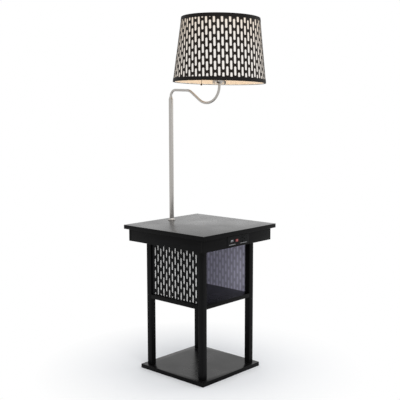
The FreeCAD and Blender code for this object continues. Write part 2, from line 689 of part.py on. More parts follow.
def make_power_panel():
    """Flange and tray of the power panel, with windows for port, button and outlet."""
    body = new_body("power_panel")
    tray = add_rectangle(new_sketch(body, "power_panel_tray", "XZ_Plane", "-apron_wall"), "panel_centre", "panel_level",
                         "cutout_width - 2 * fit_gap", "cutout_height - 2 * fit_gap")
    add_pad(body, tray, "apron_wall")
    flange = add_rectangle(new_sketch(body, "power_panel_flange", "XZ_Plane"), "panel_centre", "panel_level",
                           "panel_width", "panel_height")
    add_pad(body, flange, "panel_proud")
    windows = new_sketch(body, "power_panel_windows", "XZ_Plane", "panel_proud")
    add_rectangle(windows, "port_place", "port_level", "port_width + 2 * fit_gap", "port_height + 2 * fit_gap")
    add_rectangle(windows, "button_place", "port_level", "button_width + 2 * button_gap",
                  "button_height + 2 * button_gap")
    add_rectangle(windows, "outlet_place", "port_level", "outlet_width + 2 * fit_gap",
                  "outlet_height + 2 * fit_gap")
    add_pocket(body, windows, "apron_wall + panel_proud")
    return keep(put(body, "0", "-apron_face", "leg_top"))


def make_power_module():
    """Closed housing behind the power panel."""
    return keep(block("power_module", "cutout_width - 4", "module_depth", "cutout_height - 4", "panel_centre",
                      "-apron_face + apron_wall + module_depth / 2", "panel_z - cutout_height / 2 + 2"))


def make_charging_port():
    """Metal shell of the charging port, open to the front, with its tongue."""
    body = new_body("charging_port")
    shell = add_rectangle(new_sketch(body, "charging_port_shell", "XZ_Plane", "panel_proud - port_depth"),
                          "0", "0", "port_width", "port_height")
    add_pad(body, shell, "port_depth")
    mouth = new_sketch(body, "charging_port_mouth", "XZ_Plane", "panel_proud")
    add_rectangle(mouth, "0", "0", "port_width - 2 * port_wall", "port_height - 2 * port_wall")
    add_pocket(body, mouth, "port_depth - 2")
    tongue = add_rectangle(new_sketch(body, "charging_port_tongue", "XZ_Plane", "panel_proud - port_depth + 1"),
                           "0", "port_height / 2 - port_wall - tongue_thickness / 2 - 0.9",
                           "port_width - 2.4", "tongue_thickness")
    add_pad(body, tongue, "port_depth - 2.5")
    return keep(put(body, "port_place", "-apron_face", "port_z"))


def make_power_button():
    """Push button with a broken front edge."""
    body = new_body("power_button")
    outline = add_rectangle(new_sketch(body, "power_button_outline", "XZ_Plane", "-button_depth"),
                            "0", "0", "button_width", "button_height")
    add_pad(body, outline, "button_depth + panel_proud + button_proud")
    pad = body.Tip
    front = -value("panel_proud + button_proud")
    face_edges = [f"Edge{i + 1}" for i, edge in enumerate(pad.Shape.Edges)
                  if all(abs(vertex.Y - front) < 1e-6 for vertex in edge.Vertexes)]
    chamfer = body.newObject("PartDesign::Chamfer", "power_button_chamfer")
    chamfer.Base = (pad, face_edges)
    bind(chamfer, Size="edge_break")
    doc.recompute()
    return keep(put(body, "button_place", "-apron_face", "port_z"))


def make_mains_outlet():
    """Outlet face with two blade slots and an earth hole, lying on its side."""
    body = new_body("mains_outlet")
    outline = add_rectangle(new_sketch(body, "mains_outlet_outline", "XZ_Plane", "-apron_wall"),
                            "0", "0", "outlet_width", "outlet_height")
    add_pad(body, outline, "apron_wall + panel_proud")
    slots = new_sketch(body, "mains_outlet_slots", "XZ_Plane", "panel_proud")
    row = "(-earth_offset / 2)"
    add_rectangle(slots, row, "blade_spacing / 2", "neutral_length", "blade_width")
    add_rectangle(slots, row, "-blade_spacing / 2", "live_length", "blade_width")
    add_circle(slots, "earth_offset / 2", "0", "earth_radius")
    add_pocket(body, slots, "blade_depth")
    return keep(put(body, "outlet_place", "-apron_face", "port_z"))


def make_charging_puck():
    """Charging coil's round case against the underside of the table top."""
    puck = turned("charging_puck", [("0", "0"), ("puck_radius", "0"), ("puck_radius", "puck_height"),
                                    ("0", "puck_height")])
    return keep(put(puck, z="apron_top - puck_height"))


def make_cord_gland():
    """Round gland in the rear apron board, with the mains cord's opening through it."""
    gland = turned("cord_gland", [
        ("gland_bore", "0"), ("gland_neck", "0"), ("gland_neck", "apron_wall"),
        ("gland_radius", "apron_wall"), ("gland_radius - 1", "apron_wall + gland_flange"),
        ("gland_bore", "apron_wall + gland_flange")])
    gland.Placement = Placement(Vector(), Rotation(Vector(1, 0, 0), -90))
    return keep(put(gland, "gland_place", "apron_face - apron_wall", "leg_top + apron_height / 2"))


# ---- pole ------------------------------------------------------------------------------------

def on_pole(thing, level):
    """Place a turned piece on the pole's axis."""
    return keep(put(thing, "0", "pole_place", level))


def hexagon_nut(name, flats, height, bore):
    """Hexagon nut standing on a level, drawn as a body."""
    body = new_body(name)
    sketch = new_sketch(body, f"{name}_outline", "XY_Plane")
    corner = f"({flats}) / 2 / cos(30 deg)"
    add_outline(sketch, [(f"{corner} * cos({60 * i} deg)", f"{corner} * sin({60 * i} deg)") for i in range(6)])
    add_circle(sketch, "0", "0", bore)
    add_pad(body, sketch, height)
    return body


def make_pole():
    """Pole with its foot flange, threaded fixing, reducer and the bush that carries the arm."""
    on_pole(turned("pole_flange", [
        ("pole_radius + fit_gap", "0"), ("flange_radius", "0"),
        ("flange_radius", "flange_rim", "flange_height - flange_rim", -1),
        ("flange_neck", "flange_height"), ("pole_radius + fit_gap", "flange_height")]), "table_height")
    on_pole(turned("pole_tube", tube_outline("pole_bore", "pole_radius", "0", "pole_length")), "table_height")
    on_pole(turned("pole_plug", tube_outline("rod_radius + fit_gap", "pole_bore - fit_gap", "0", "plug_height")),
            "table_height")
    on_pole(turned("pole_rod", tube_outline("rod_radius - 1.5", "rod_radius", "0",
                                            "rod_below + top_thickness + plug_height")), "apron_top - rod_below")
    on_pole(turned("pole_washer", tube_outline("rod_radius + fit_gap", "washer_radius", "0", "washer_thickness")),
            "apron_top - washer_thickness")
    on_pole(hexagon_nut("pole_nut", "nut_flats", "nut_height", "rod_radius + fit_gap"),
            "apron_top - washer_thickness - nut_height")
    on_pole(turned("pole_reducer", [
        ("arm_radius + fit_gap", "-cap_skirt"), ("pole_bore - fit_gap", "-cap_skirt"),
        ("pole_bore - fit_gap", "0"), ("pole_radius", "0"), ("pole_radius", "cap_rim"),
        ("cap_neck", "cap_height"), ("arm_radius + fit_gap", "cap_height")]), "pole_top")
    on_pole(turned("arm_bush", [
        ("0", "-seat_floor"), ("pole_bore - fit_gap", "-seat_floor"),
        ("pole_bore - fit_gap", "seat_height - seat_floor"), ("arm_radius + fit_gap", "seat_height - seat_floor"),
        ("arm_radius + fit_gap", "0"), ("0", "0")]), "pole_top - seat_depth")


# ---- arm -------------------------------------------------------------------------------------

def make_arm_tube():
    """Bent tube: stem in the pole, level run, slope, bow and the end that carries the lampholder."""
    droop, slope = value("arm_droop"), value("arm_slope")
    stem = value("pole_top + arm_rise - arm_foot")
    bends, _ = turtle(Vector(0, value("arm_foot"), 0), 90, [
        (stem,), (value("arm_first_bend"), -90 - droop), (value("arm_run"),),
        (value("arm_shoulder_bend"), -slope), (value("arm_slope_run"),), (value("arm_bow"), droop + slope + 90)])
    upright = Placement(Vector(0, value("pole_place"), 0), Rotation(Vector(0, -1, 0), Vector(0, 0, 1), Vector(-1, 0, 0)))
    for edge in bends:
        edge.Placement = upright.multiply(edge.Placement)
    lean, bow = math.radians(value("head_lean")), value("arm_bow")
    start = Vector(0, value("head_y"), value("bow_end"))
    half, full = (start + Vector(bow * (1 - math.cos(turn)), 0, bow * math.sin(turn)) for turn in (lean / 2, lean))
    end = Vector(value("head_x"), value("head_y"), value("head_z"))
    path = Part.Wire(bends + [Part.Arc(start, half, full).toShape(), Part.LineSegment(full, end).toShape()])
    foot = Vector(0, value("pole_place"), value("arm_foot"))
    outer = sweep_disc(path, value("arm_radius"), foot, Vector(0, 0, 1))
    inner = sweep_disc(path, value("arm_radius - arm_wall"), foot, Vector(0, 0, 1))
    return keep(compound("arm_tube", [outer.cut(inner)]))


def make_saddle():
    """Strip with turned-up ends, clamped under the lampholder."""
    body = new_body("harp_saddle")
    inside = "(saddle_half - saddle_thickness)"
    outline = [("-saddle_half", "0"), ("saddle_half", "0"), ("saddle_half", "saddle_ears"), (inside, "saddle_ears"),
               (inside, "saddle_thickness"), (f"-{inside}", "saddle_thickness"), (f"-{inside}", "saddle_ears"),
               ("-saddle_half", "saddle_ears")]
    add_pad(body, add_outline(new_sketch(body, "harp_saddle_outline", "XZ_Plane"), outline), "saddle_width",
            middle=True)
    hole = add_circle(new_sketch(body, "harp_saddle_hole", "XY_Plane"), "0", "0", "nipple_radius + fit_gap")
    add_pocket(body, hole, "saddle_thickness", upwards=True)
    return keep(on_head(body))


def make_lampholder():
    """Nipple, cup, insulating shell, locknut and the threaded sleeve for the bulb."""
    keep(on_head(turned("holder_nipple", tube_outline("nipple_radius - 1.2", "nipple_radius",
                                                      "-nipple_below", "nipple_above"))))
    keep(on_head(turned("holder_cup", [
        ("nipple_radius + fit_gap", "saddle_thickness"),
        ("cup_foot", "saddle_thickness", "cup_radius", 1),
        ("cup_radius", "shell_bottom"), ("cup_radius", "saddle_thickness + cup_height"),
        ("cup_radius - cup_wall", "saddle_thickness + cup_height"), ("cup_radius - cup_wall", "shell_bottom"),
        ("cup_foot", "saddle_thickness + cup_wall"),
        ("nipple_radius + fit_gap", "saddle_thickness + cup_wall")])))
    keep(on_head(turned("holder_shell", [
        ("nipple_radius + fit_gap", "shell_bottom"), ("shell_outer", "shell_bottom"), ("shell_outer", "shell_top"),
        ("shell_inner", "shell_top"), ("shell_inner", "shell_bottom + shell_floor"),
        ("nipple_radius + fit_gap", "shell_bottom + shell_floor")])))
    nut = hexagon_nut("holder_locknut", "locknut_flats", "locknut_height", "nipple_radius + fit_gap")
    for sketch in (item for item in nut.Group if item.TypeId == "Sketcher::SketchObject"):
        bind(sketch, AttachmentOffset__Base__z="shell_bottom + shell_floor")
    keep(on_head(nut))
    keep(on_head(turned("holder_sleeve", tube_outline("sleeve_inner", "sleeve_outer",
                                                      "shell_top - screw_shell_height", "shell_top"))))


def make_bulb():
    """Bulb with a screw cap, a conical neck and a round globe."""
    angle = "(bulb_taper * 1 deg)"
    return keep(on_head(turned("bulb", [
        ("0", "bulb_foot"), ("bulb_cap_radius - 4", "bulb_foot"), ("bulb_cap_radius", "bulb_foot + 3"),
        ("bulb_cap_radius", "shell_top + 1"), ("bulb_neck_radius", "shell_top + 3"),
        ("bulb_neck_radius", "shell_top + 6"),
        (f"bulb_radius * cos{angle}", f"globe_centre - bulb_radius * sin{angle}", "bulb_radius", 1),
        ("0", "globe_centre + bulb_radius")])))


def harp_path():
    """Edges of the harp's right half, from its foot to the middle of the flat top."""
    out, inn = value("harp_out"), value("harp_in")
    small, wide, top = value("harp_small_bend"), value("harp_wide_bend"), value("harp_top_bend")
    outward, inward = math.radians(90 - out), math.radians(90 - out + inn)
    foot = value("saddle_thickness + 1")
    bend_x = (small * (1 - math.sin(outward)) + wide * (math.sin(inward) - math.sin(outward))
              - top * math.sin(inward))
    bend_z = (small * math.cos(outward) + wide * (math.cos(outward) - math.cos(inward))
              + top * (math.cos(inward) + 1))
    need_x = value("harp_top_flat - harp_foot") - bend_x
    need_z = value("harp_height") - foot - value("harp_leg") - bend_z
    scale = math.cos(outward) * math.sin(inward) - math.cos(inward) * math.sin(outward)
    lower = (need_x * math.sin(inward) - need_z * math.cos(inward)) / scale
    upper = (need_z * math.cos(outward) - need_x * math.sin(outward)) / scale
    edges, _ = turtle(Vector(value("harp_foot"), foot, 0), 90, [
        (value("harp_leg"),), (small, -out), (lower,), (wide, inn), (upper,), (top, 90 + out - inn),
        (value("harp_top_flat"),)])
    return edges


def make_harp():
    """Harp of bent wire with the collar and threaded stud that carry the shade."""
    upright = Placement(Vector(), Rotation(Vector(1, 0, 0), 90))
    half = harp_path()
    for edge in half:
        edge.Placement = upright.multiply(edge.Placement)
    foot = Vector(value("harp_foot"), 0, value("saddle_thickness + 1"))
    right = sweep_disc(Part.Wire(half), value("harp_wire"), foot, Vector(0, 0, 1))
    left = right.mirror(Vector(), Vector(1, 0, 0))
    level = value("harp_height")
    collar = Part.makeCylinder(value("stud_collar"), value("2 * harp_wire + harp_wire"),
                               Vector(0, 0, level - value("harp_wire")))
    stud = Part.makeCylinder(value("stud_radius"), value("stud_length"), Vector(0, 0, value("collar_top")))
    return keep(on_head(compound("harp", [right.fuse([left, collar, stud])])))


def make_ferrules():
    """Two sleeves that lock the harp's feet."""
    bore, wall = value("harp_wire + fit_gap"), value("ferrule_wall")
    low = value("saddle_thickness + 2")
    sleeves = [Part.makeCylinder(bore + wall, value("ferrule_height"), Vector(side * value("harp_foot"), 0, low))
               .cut(Part.makeCylinder(bore, value("ferrule_height"), Vector(side * value("harp_foot"), 0, low)))
               for side in (-1, 1)]
    return keep(on_head(compound("harp_ferrules", sleeves)))


def make_pull_chain():
    """Guide arm with its eyelet on the lampholder, and the chain with its knob."""
    turn = math.radians(value("guide_turn"))
    out = Vector(math.cos(turn), math.sin(turn), 0)
    level, reach = value("guide_level"), value("guide_reach")
    hole = out * reach
    start = value("shell_outer + fit_gap")
    arm = Part.makeCylinder(value("guide_radius"), reach - start, out * start + Vector(0, 0, level), out)
    low = level - value("eyelet_height") / 2
    eyelet = Part.makeCylinder(value("eyelet_radius"), value("eyelet_height"), hole + Vector(0, 0, low))
    bore = Part.makeCylinder(value("eyelet_bore"), value("eyelet_height"), hole + Vector(0, 0, low))
    keep(on_head(compound("chain_guide", [arm.fuse(eyelet).cut(bore)])))

    knob_radius = value("chain_knob")
    knob_level = knob_radius - value("chain_drop")
    knob = Part.makeSphere(knob_radius, hole + Vector(0, 0, knob_level))
    chain = Part.makeCylinder(value("chain_radius"), level + value("eyelet_height") / 2 - 1 - knob_level,
                              hole + Vector(0, 0, knob_level))
    keep(on_head(compound("pull_chain", [knob.fuse(chain)])))


# ---- shade -----------------------------------------------------------------------------------

def shade_slots():
    """Cutters for the shade's outer sheet.

    The sheet is cut flat, as a sector of a ring, with straight rows and columns of slots, and then
    rolled into a cone: so the slots lean more and more against the cone as they near the seam.
    """
    bottom, top = value("skin_bottom_radius"), value("skin_top_radius")
    rise = value("skin_top_z - skin_bottom_z")
    half_angle = math.atan2(bottom - top, rise)
    apex_z = value("skin_bottom_z") + bottom / math.tan(half_angle)
    near, far = top / math.sin(half_angle) + value("slot_edge"), bottom / math.sin(half_angle) - value("slot_edge")
    pitch, period = value("shade_pitch"), value("shade_period")
    width, length = value("shade_slot_width"), value("shade_slot_length")
    turn, seam = math.radians(value("shade_turn")), value("shade_seam")
    depth = 6 * value("shade_skin")
    cutters = []
    edge = math.pi * math.sin(half_angle)
    columns = int(far * math.sin(edge) / pitch) + 1
    rows = range(int(near * math.cos(edge) / period) - 1, int(far / period) + 2)
    for column in range(-columns, columns + 1):
        x = column * pitch + value("shade_column_phase")
        shift = value("shade_row_phase") + (period / 2 if column % 2 else 0)
        for row in rows:
            low, high = shift + row * period - length / 2, shift + row * period + length / 2
            low = max(low, math.sqrt(max(near ** 2 - x ** 2, 0)))
            high = min(high, math.sqrt(max(far ** 2 - x ** 2, 0)))
            if high - low < width / 2:
                continue
            middle = (low + high) / 2
            slant, swing = math.hypot(x, middle), math.atan2(x, middle)
            azimuth = swing / math.sin(half_angle)
            if (math.pi - abs(azimuth)) * slant * math.sin(half_angle) < seam + width / 2:
                continue
            cutter = Part.makeBox(width, high - low, depth, Vector(-width / 2, (low - high) / 2, -depth / 2))
            around = Vector(-math.sin(azimuth + turn), math.cos(azimuth + turn), 0)
            outward = Vector(math.cos(azimuth + turn), math.sin(azimuth + turn), 0)
            down = outward * math.sin(half_angle) - Vector(0, 0, math.cos(half_angle))
            long_side = down * math.cos(swing) - around * math.sin(swing)
            wide_side = around * math.cos(swing) + down * math.sin(swing)
            spot = outward * (slant * math.sin(half_angle)) + Vector(0, 0, apex_z - slant * math.cos(half_angle))
            cutter.Placement = Placement(spot, Rotation(wide_side, long_side, wide_side.cross(long_side)))
            cutters.append(cutter)
    return cutters


def make_shade():
    """Pierced outer sheet, plain inner sheet, edge trims, rings, spokes and hub."""
    outer = [("skin_bottom_radius - shade_skin", "skin_bottom_z"), ("skin_bottom_radius", "skin_bottom_z"),
             ("skin_top_radius", "skin_top_z"), ("skin_top_radius - shade_skin", "skin_top_z")]
    blank = turned("shade_blank", outer)
    slots = compound("shade_slots", shade_slots())
    skin = doc.addObject("Part::Cut", "shade_outer")
    skin.Base, skin.Tool = blank, slots
    keep(on_head(skin))
    keep(on_head(turned("shade_liner", [
        ("skin_bottom_radius - sheets", "skin_bottom_z"), ("skin_bottom_radius - shade_skin", "skin_bottom_z"),
        ("skin_top_radius - shade_skin", "skin_top_z"), ("skin_top_radius - sheets", "skin_top_z")])))

    slope, turn = "shade_slope", "trim_turn"
    keep(on_head(turned("trim_top", [
        (f"shade_top_radius + trim_height * {slope}", "shade_top - trim_height"), ("shade_top_radius", "shade_top"),
        ("trim_top_inner", "shade_top"), ("trim_top_inner", f"shade_top - {turn}"),
        ("trim_top_inner + trim_thickness", f"shade_top - {turn}"), ("trim_top_inner + trim_thickness", "fold_top"),
        ("skin_top_radius + trim_gap", "fold_top"),
        (f"skin_top_radius + trim_gap + (trim_height - trim_thickness) * {slope}", "shade_top - trim_height")])))
    keep(on_head(turned("trim_bottom", [
        ("shade_bottom_radius", "shade_drop"),
        (f"shade_bottom_radius - trim_height * {slope}", "shade_drop + trim_height"),
        (f"skin_bottom_radius + trim_gap - (trim_height - trim_thickness) * {slope}", "shade_drop + trim_height"),
        ("skin_bottom_radius + trim_gap", "fold_bottom"), ("trim_bottom_inner + trim_thickness", "fold_bottom"),
        ("trim_bottom_inner + trim_thickness", f"shade_drop + {turn}"), ("trim_bottom_inner", f"shade_drop + {turn}"),
        ("trim_bottom_inner", "shade_drop")])))

    ring = doc.addObject("Part::Torus", "ring_bottom")
    bind(ring, Radius1="ring_bottom_radius", Radius2="ring_wire")
    on_head(ring)
    put(ring, "head_x + ring_bottom_z * sin(head_lean * 1 deg)", "head_y",
        "head_z + ring_bottom_z * cos(head_lean * 1 deg)")
    keep(ring)

    wire, radius = value("ring_wire"), value("ring_top_radius")
    level = value("ring_top_z")
    hub_level = value("collar_top")
    hub = Part.makeCylinder(value("hub_radius"), value("hub_thickness"), Vector(0, 0, hub_level))
    hub = hub.cut(Part.makeCylinder(value("stud_radius + fit_gap"), value("hub_thickness"), Vector(0, 0, hub_level)))
    spokes = []
    for index in range(int(value("spoke_count"))):
        turn_angle = math.radians(90 + 360 * index / value("spoke_count"))
        out = Vector(math.cos(turn_angle), math.sin(turn_angle), 0)
        start = out * (value("hub_radius") - 2) + Vector(0, 0, hub_level + wire)
        end = out * (radius + value("spoke_lap")) + Vector(0, 0, level - value("spoke_drop"))
        spokes.append(Part.makeCylinder(wire, (end - start).Length, start, end - start))
    upper_ring = Part.makeTorus(radius, wire, Vector(0, 0, level))
    keep(on_head(compound("shade_fitter", [hub.fuse(spokes + [upper_ring])])))


def make_finial():
    """Small turned knob on the harp's stud."""
    ball = "finial_bottom + finial_height - finial_radius"
    return keep(on_head(turned("finial", [
        ("stud_radius + fit_gap", "finial_bottom"), ("finial_foot", "finial_bottom"),
        ("finial_foot", "finial_bottom + 1.5"), ("finial_radius * 0.8", "finial_bottom + 3"),
        ("finial_radius * 0.8", f"{ball} - finial_radius * 0.6", "finial_radius", 1),
        ("0", f"{ball} + finial_radius"), ("0", "finial_bottom + stud_length - hub_thickness + 0.3"),
        ("stud_radius + fit_gap", "finial_bottom + stud_length - hub_thickness + 0.3")])))


def make_table():
    """Every piece of the table, from the base up."""
    make_base_board()
    for name, (side_x, side_y) in LEG_SIGNS.items():
        make_leg(name, side_x, side_y)
    make_shelf_board()
    make_dowels()
    make_screws("base_screws", False, "0")
    make_soffit_board()
    make_screws("soffit_screws", True, "leg_top + soffit_thickness")
    make_apron()
    make_table_top()
    make_panels()
    make_power_panel()
    make_power_module()
    make_charging_port()
    make_power_button()
    make_mains_outlet()
    make_charging_puck()
    make_cord_gland()


def make_lamp():
    """Every piece of the lamp, from the pole to the finial."""
    make_pole()
    make_arm_tube()
    make_saddle()
    make_lampholder()
    make_bulb()
    make_harp()
    make_ferrules()
    make_pull_chain()
    make_shade()
    make_finial()


def check_and_write():
    """Stop at any failed object or broken shape, then write one STEP file for each node."""
    doc.recompute()
    for thing in doc.Objects:
        if "Invalid" in thing.State or "Error" in thing.State:
            raise RuntimeError(f"{thing.Name} did not build: {thing.State}")
    os.makedirs("parts", exist_ok=True)
    for thing in nodes:
        shape = thing.Shape
        if shape.isNull() or not shape.isValid() or not shape.Solids:
            raise RuntimeError(f"{thing.Label} has no valid solid")
    for thing in nodes:
        thing.Shape.exportStep(f"parts/{thing.Label}.step")
        print(f"{thing.Label}: {len(thing.Shape.Solids)} solid(s), {thing.Shape.Volume / 1000:.1f} cm3")


make_table()
make_lamp()
check_and_write()
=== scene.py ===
"""Looks of a floor lamp that stands on a small black side table.

The part's own frame is used throughout: metres, +Z up, origin in the middle of the base board's
underside, the open front of the table along -Y. Sizes in the classes are millimetres, as a maker
would write them.
"""
from __future__ import annotations

import json
import logging
import math
from dataclasses import dataclass, field
from enum import Enum
from typing import Callable, Dict, Iterable, List, Optional, Sequence, Tuple, Union

import bmesh
import bpy
import numpy as np
from mathutils import Matrix, Vector

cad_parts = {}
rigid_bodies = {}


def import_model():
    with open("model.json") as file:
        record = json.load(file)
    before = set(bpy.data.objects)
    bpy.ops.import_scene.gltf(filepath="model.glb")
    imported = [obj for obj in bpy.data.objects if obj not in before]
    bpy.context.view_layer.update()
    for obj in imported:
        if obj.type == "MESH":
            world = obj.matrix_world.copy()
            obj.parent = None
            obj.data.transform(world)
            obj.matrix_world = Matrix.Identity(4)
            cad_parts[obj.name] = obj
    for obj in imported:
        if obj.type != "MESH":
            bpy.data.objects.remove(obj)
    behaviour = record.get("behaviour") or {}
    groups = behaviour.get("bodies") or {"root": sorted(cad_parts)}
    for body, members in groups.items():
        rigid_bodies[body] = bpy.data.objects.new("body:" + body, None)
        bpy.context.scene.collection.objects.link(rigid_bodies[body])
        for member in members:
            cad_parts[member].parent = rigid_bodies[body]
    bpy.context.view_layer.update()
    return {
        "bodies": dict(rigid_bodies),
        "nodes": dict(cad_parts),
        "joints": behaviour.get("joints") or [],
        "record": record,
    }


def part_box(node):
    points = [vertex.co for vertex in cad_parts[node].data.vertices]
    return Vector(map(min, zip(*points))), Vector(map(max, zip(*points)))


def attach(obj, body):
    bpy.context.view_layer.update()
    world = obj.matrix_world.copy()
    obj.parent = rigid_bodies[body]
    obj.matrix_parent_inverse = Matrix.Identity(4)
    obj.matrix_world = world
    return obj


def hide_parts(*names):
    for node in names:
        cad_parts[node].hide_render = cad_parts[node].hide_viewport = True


LOG = logging.getLogger("lamp_table")
MM = 0.001
LOOKS_UP = 0.95  # upward part of the normal above which a face counts as a top
NEARLY_STRAIGHT = math.radians(176)  # corner too flat to round
FOLDED = 0.5  # radians between two faces above which their edge is eased
SOFT_EDGE = 35.0  # degrees above which an edge stays sharp in the shading
BULB_POWER = 0.5
BULB_COLOUR = (1.0, 0.78, 0.55)

Pair = Tuple[float, float]
Triple = Tuple[float, float, float]
Socket = bpy.types.NodeSocket
Setting = Union[float, Sequence[float], Socket]


class Body(Enum):
    """Rigid body of the part that a piece moves with."""

    STAND = "stand"
    ARM = "arm"
    PULL = "pull_switch"
    BUTTON = "power_button"


class Grain(Enum):
    """Direction in which grain or brushing runs, as the stretch of its pattern along each axis."""

    ALONG_X = (0.045, 1.0, 1.0)
    ALONG_Y = (1.0, 0.045, 1.0)
    ALONG_Z = (1.0, 1.0, 0.045)


# ---- laying out a finish -----------------------------------------------------------------------


class Recipe:
    """Node tree of one finish while it is laid out."""

    def __init__(self, name: str) -> None:
        """Start an empty material with one main shader.

        Args:
            name: name of the material.
        """
        self.material = bpy.data.materials.new(name)
        self.material.use_nodes = True
        self.tree = self.material.node_tree
        self.tree.nodes.clear()
        self.output = self.tree.nodes.new("ShaderNodeOutputMaterial")
        self.shader = self.tree.nodes.new("ShaderNodeBsdfPrincipled")
        self.join(self.output.inputs["Surface"], self.shader.outputs[0])
        self.place = self.tree.nodes.new("ShaderNodeTexCoord").outputs["Object"]

    def join(self, socket: Socket, setting: Setting) -> None:
        """Set a socket to a number or colour, or link it to another socket.

        Args:
            socket: input to fill.
            setting: number, colour or output.
        """
        if isinstance(setting, bpy.types.NodeSocket):
            self.tree.links.new(setting, socket)
        elif isinstance(setting, (int, float)):
            socket.default_value = setting
        else:
            wanted = len(socket.default_value)
            socket.default_value = (*setting, 1.0)[:wanted]

    def main(self, **settings: Setting) -> None:
        """Fill inputs of the main shader; an underscore in a name stands for a space."""
        for name, setting in settings.items():
            self.join(self.shader.inputs[name.replace("_", " ")], setting)

    def sum(self, operation: str, first: Setting, second: Setting = 0.0,
            third: Setting = 0.0) -> Socket:
        """Work out a number.

        Args:
            operation: name of the sum.
            first: first number.
            second: second number.
            third: third number, for sums that take one.

        Returns:
            The result's socket.
        """
        node = self.tree.nodes.new("ShaderNodeMath")
        node.operation = operation
        for socket, setting in zip(node.inputs, (first, second, third)):
            self.join(socket, setting)
        return node.outputs[0]

    def spread(self, number: Setting, low: float, high: float, to_low: float = 0.0,
               to_high: float = 1.0) -> Socket:
        """Stretch a range of numbers over another, held at its ends.

        Args:
            number: number to stretch.
            low: start of its range.
            high: end of its range.
            to_low: what the start becomes.
            to_high: what the end becomes.

        Returns:
            The result's socket.
        """
        node = self.tree.nodes.new("ShaderNodeMapRange")
        for socket, setting in zip(node.inputs, (number, low, high, to_low, to_high)):
            self.join(socket, setting)
        return node.outputs[0]

    def blend(self, share: Setting, first: Setting, second: Setting) -> Socket:
        """Mix two colours.

        Args:
            share: share of the second colour.
            first: first colour.
            second: second colour.

        Returns:
            The mixed colour's socket.
        """
        node = self.tree.nodes.new("ShaderNodeMix")
        node.data_type = "RGBA"
        for index, setting in ((0, share), (6, first), (7, second)):
            self.join(node.inputs[index], setting)
        return node.outputs[2]

    def stretched(self, run: Grain) -> Socket:
        """Place on the piece, squeezed along the grain so that a pattern runs out in lines.

        Args:
            run: direction of the grain.

        Returns:
            The new place's socket.
        """
        node = self.tree.nodes.new("ShaderNodeMapping")
        node.vector_type = "POINT"
        self.join(node.inputs["Vector"], self.place)
        self.join(node.inputs["Scale"], run.value)
        return node.outputs[0]

    def noise(self, size: float, detail: float = 4.0, place: Optional[Socket] = None,
              rough: float = 0.5) -> Socket:
        """Soft irregular pattern.

        Args:
            size: spots per metre.
            detail: how many finer layers are added.
            place: where to read it; the plain place if none is given.
            rough: weight of the finer layers.

        Returns:
            A number from 0 to 1.
        """
        node = self.tree.nodes.new("ShaderNodeTexNoise")
        self.join(node.inputs["Vector"], place or self.place)
        self.join(node.inputs["Scale"], size)
        self.join(node.inputs["Detail"], detail)
        self.join(node.inputs["Roughness"], rough)
        return node.outputs[0]

    def distance(self, spot: Triple) -> Socket:
        """Distance from a spot.

        Args:
            spot: the spot, in millimetres.

        Returns:
            The distance's socket, in metres.
        """
        node = self.tree.nodes.new("ShaderNodeVectorMath")
        node.operation = "DISTANCE"
        self.join(node.inputs[0], self.place)
        self.join(node.inputs[1], tuple(part * MM for part in spot))
        return node.outputs["Value"]

    def axis(self, place: Socket, name: str) -> Socket:
        """One coordinate of a place."""
        node = self.tree.nodes.new("ShaderNodeSeparateXYZ")
        self.join(node.inputs[0], place)
        return node.outputs[name]

    def relief(self, height: Socket, depth: float, strength: float = 1.0) -> None:
        """Raise the surface by a pattern.

        Args:
            height: the pattern.
            depth: metres between its 0 and its 1.
            strength: how much of it shows.
        """
        node = self.tree.nodes.new("ShaderNodeBump")
        self.join(node.inputs["Height"], height)
        self.join(node.inputs["Distance"], depth)
        self.join(node.inputs["Strength"], strength)
        self.main(Normal=node.outputs[0])


@dataclass(frozen=True)
class Laminate:
    """Satin black laminate with a faint printed wood grain."""

    name: str
    grain: Grain
    dark: Triple = (0.0035, 0.0035, 0.0038)
    light: Triple = (0.0075, 0.0072, 0.0073)
    gloss: float = 0.3
    shine: float = 0.045

    def material(self) -> bpy.types.Material:
        """Lay the finish out."""
        mix = Recipe(self.name)
        run = mix.stretched(self.grain)
        fibre = mix.noise(420.0, 5.0, run, 0.62)
        figure = mix.noise(52.0, 3.0, run, 0.5)
        rubbed = mix.noise(9.0, 3.0)
        shade = mix.sum("MULTIPLY", mix.spread(fibre, 0.36, 0.66),
                        mix.spread(figure, 0.3, 0.72, 0.35, 1.0))
        mix.main(Base_Color=mix.blend(shade, self.dark, self.light),
                 Roughness=mix.spread(rubbed, 0.3, 0.7, self.gloss - 0.035, self.gloss + 0.06),
                 Specular_IOR_Level=self.shine)
        mix.relief(fibre, 0.00006, 0.6)
        return mix.material


@dataclass(frozen=True)
class BrushedMetal:
    """Metal with fine brushing across or along its length."""

    name: str
    colour: Triple = (0.43, 0.412, 0.39)
    gloss: float = 0.3
    brushing: Grain = Grain.ALONG_Z
    fineness: float = 1600.0
    depth: float = 0.000004

    def material(self) -> bpy.types.Material:
        """Lay the finish out."""
        mix = Recipe(self.name)
        lines = mix.noise(self.fineness, 2.0, mix.stretched(self.brushing), 0.6)
        cloudy = mix.noise(38.0, 3.0)
        darker = tuple(part * 0.92 for part in self.colour)
        mix.main(Base_Color=mix.blend(mix.spread(lines, 0.3, 0.7), darker, self.colour),
                 Roughness=mix.spread(cloudy, 0.3, 0.7, self.gloss - 0.04, self.gloss + 0.05),
                 Metallic=1.0)
        mix.relief(lines, self.depth, 0.5)
        return mix.material


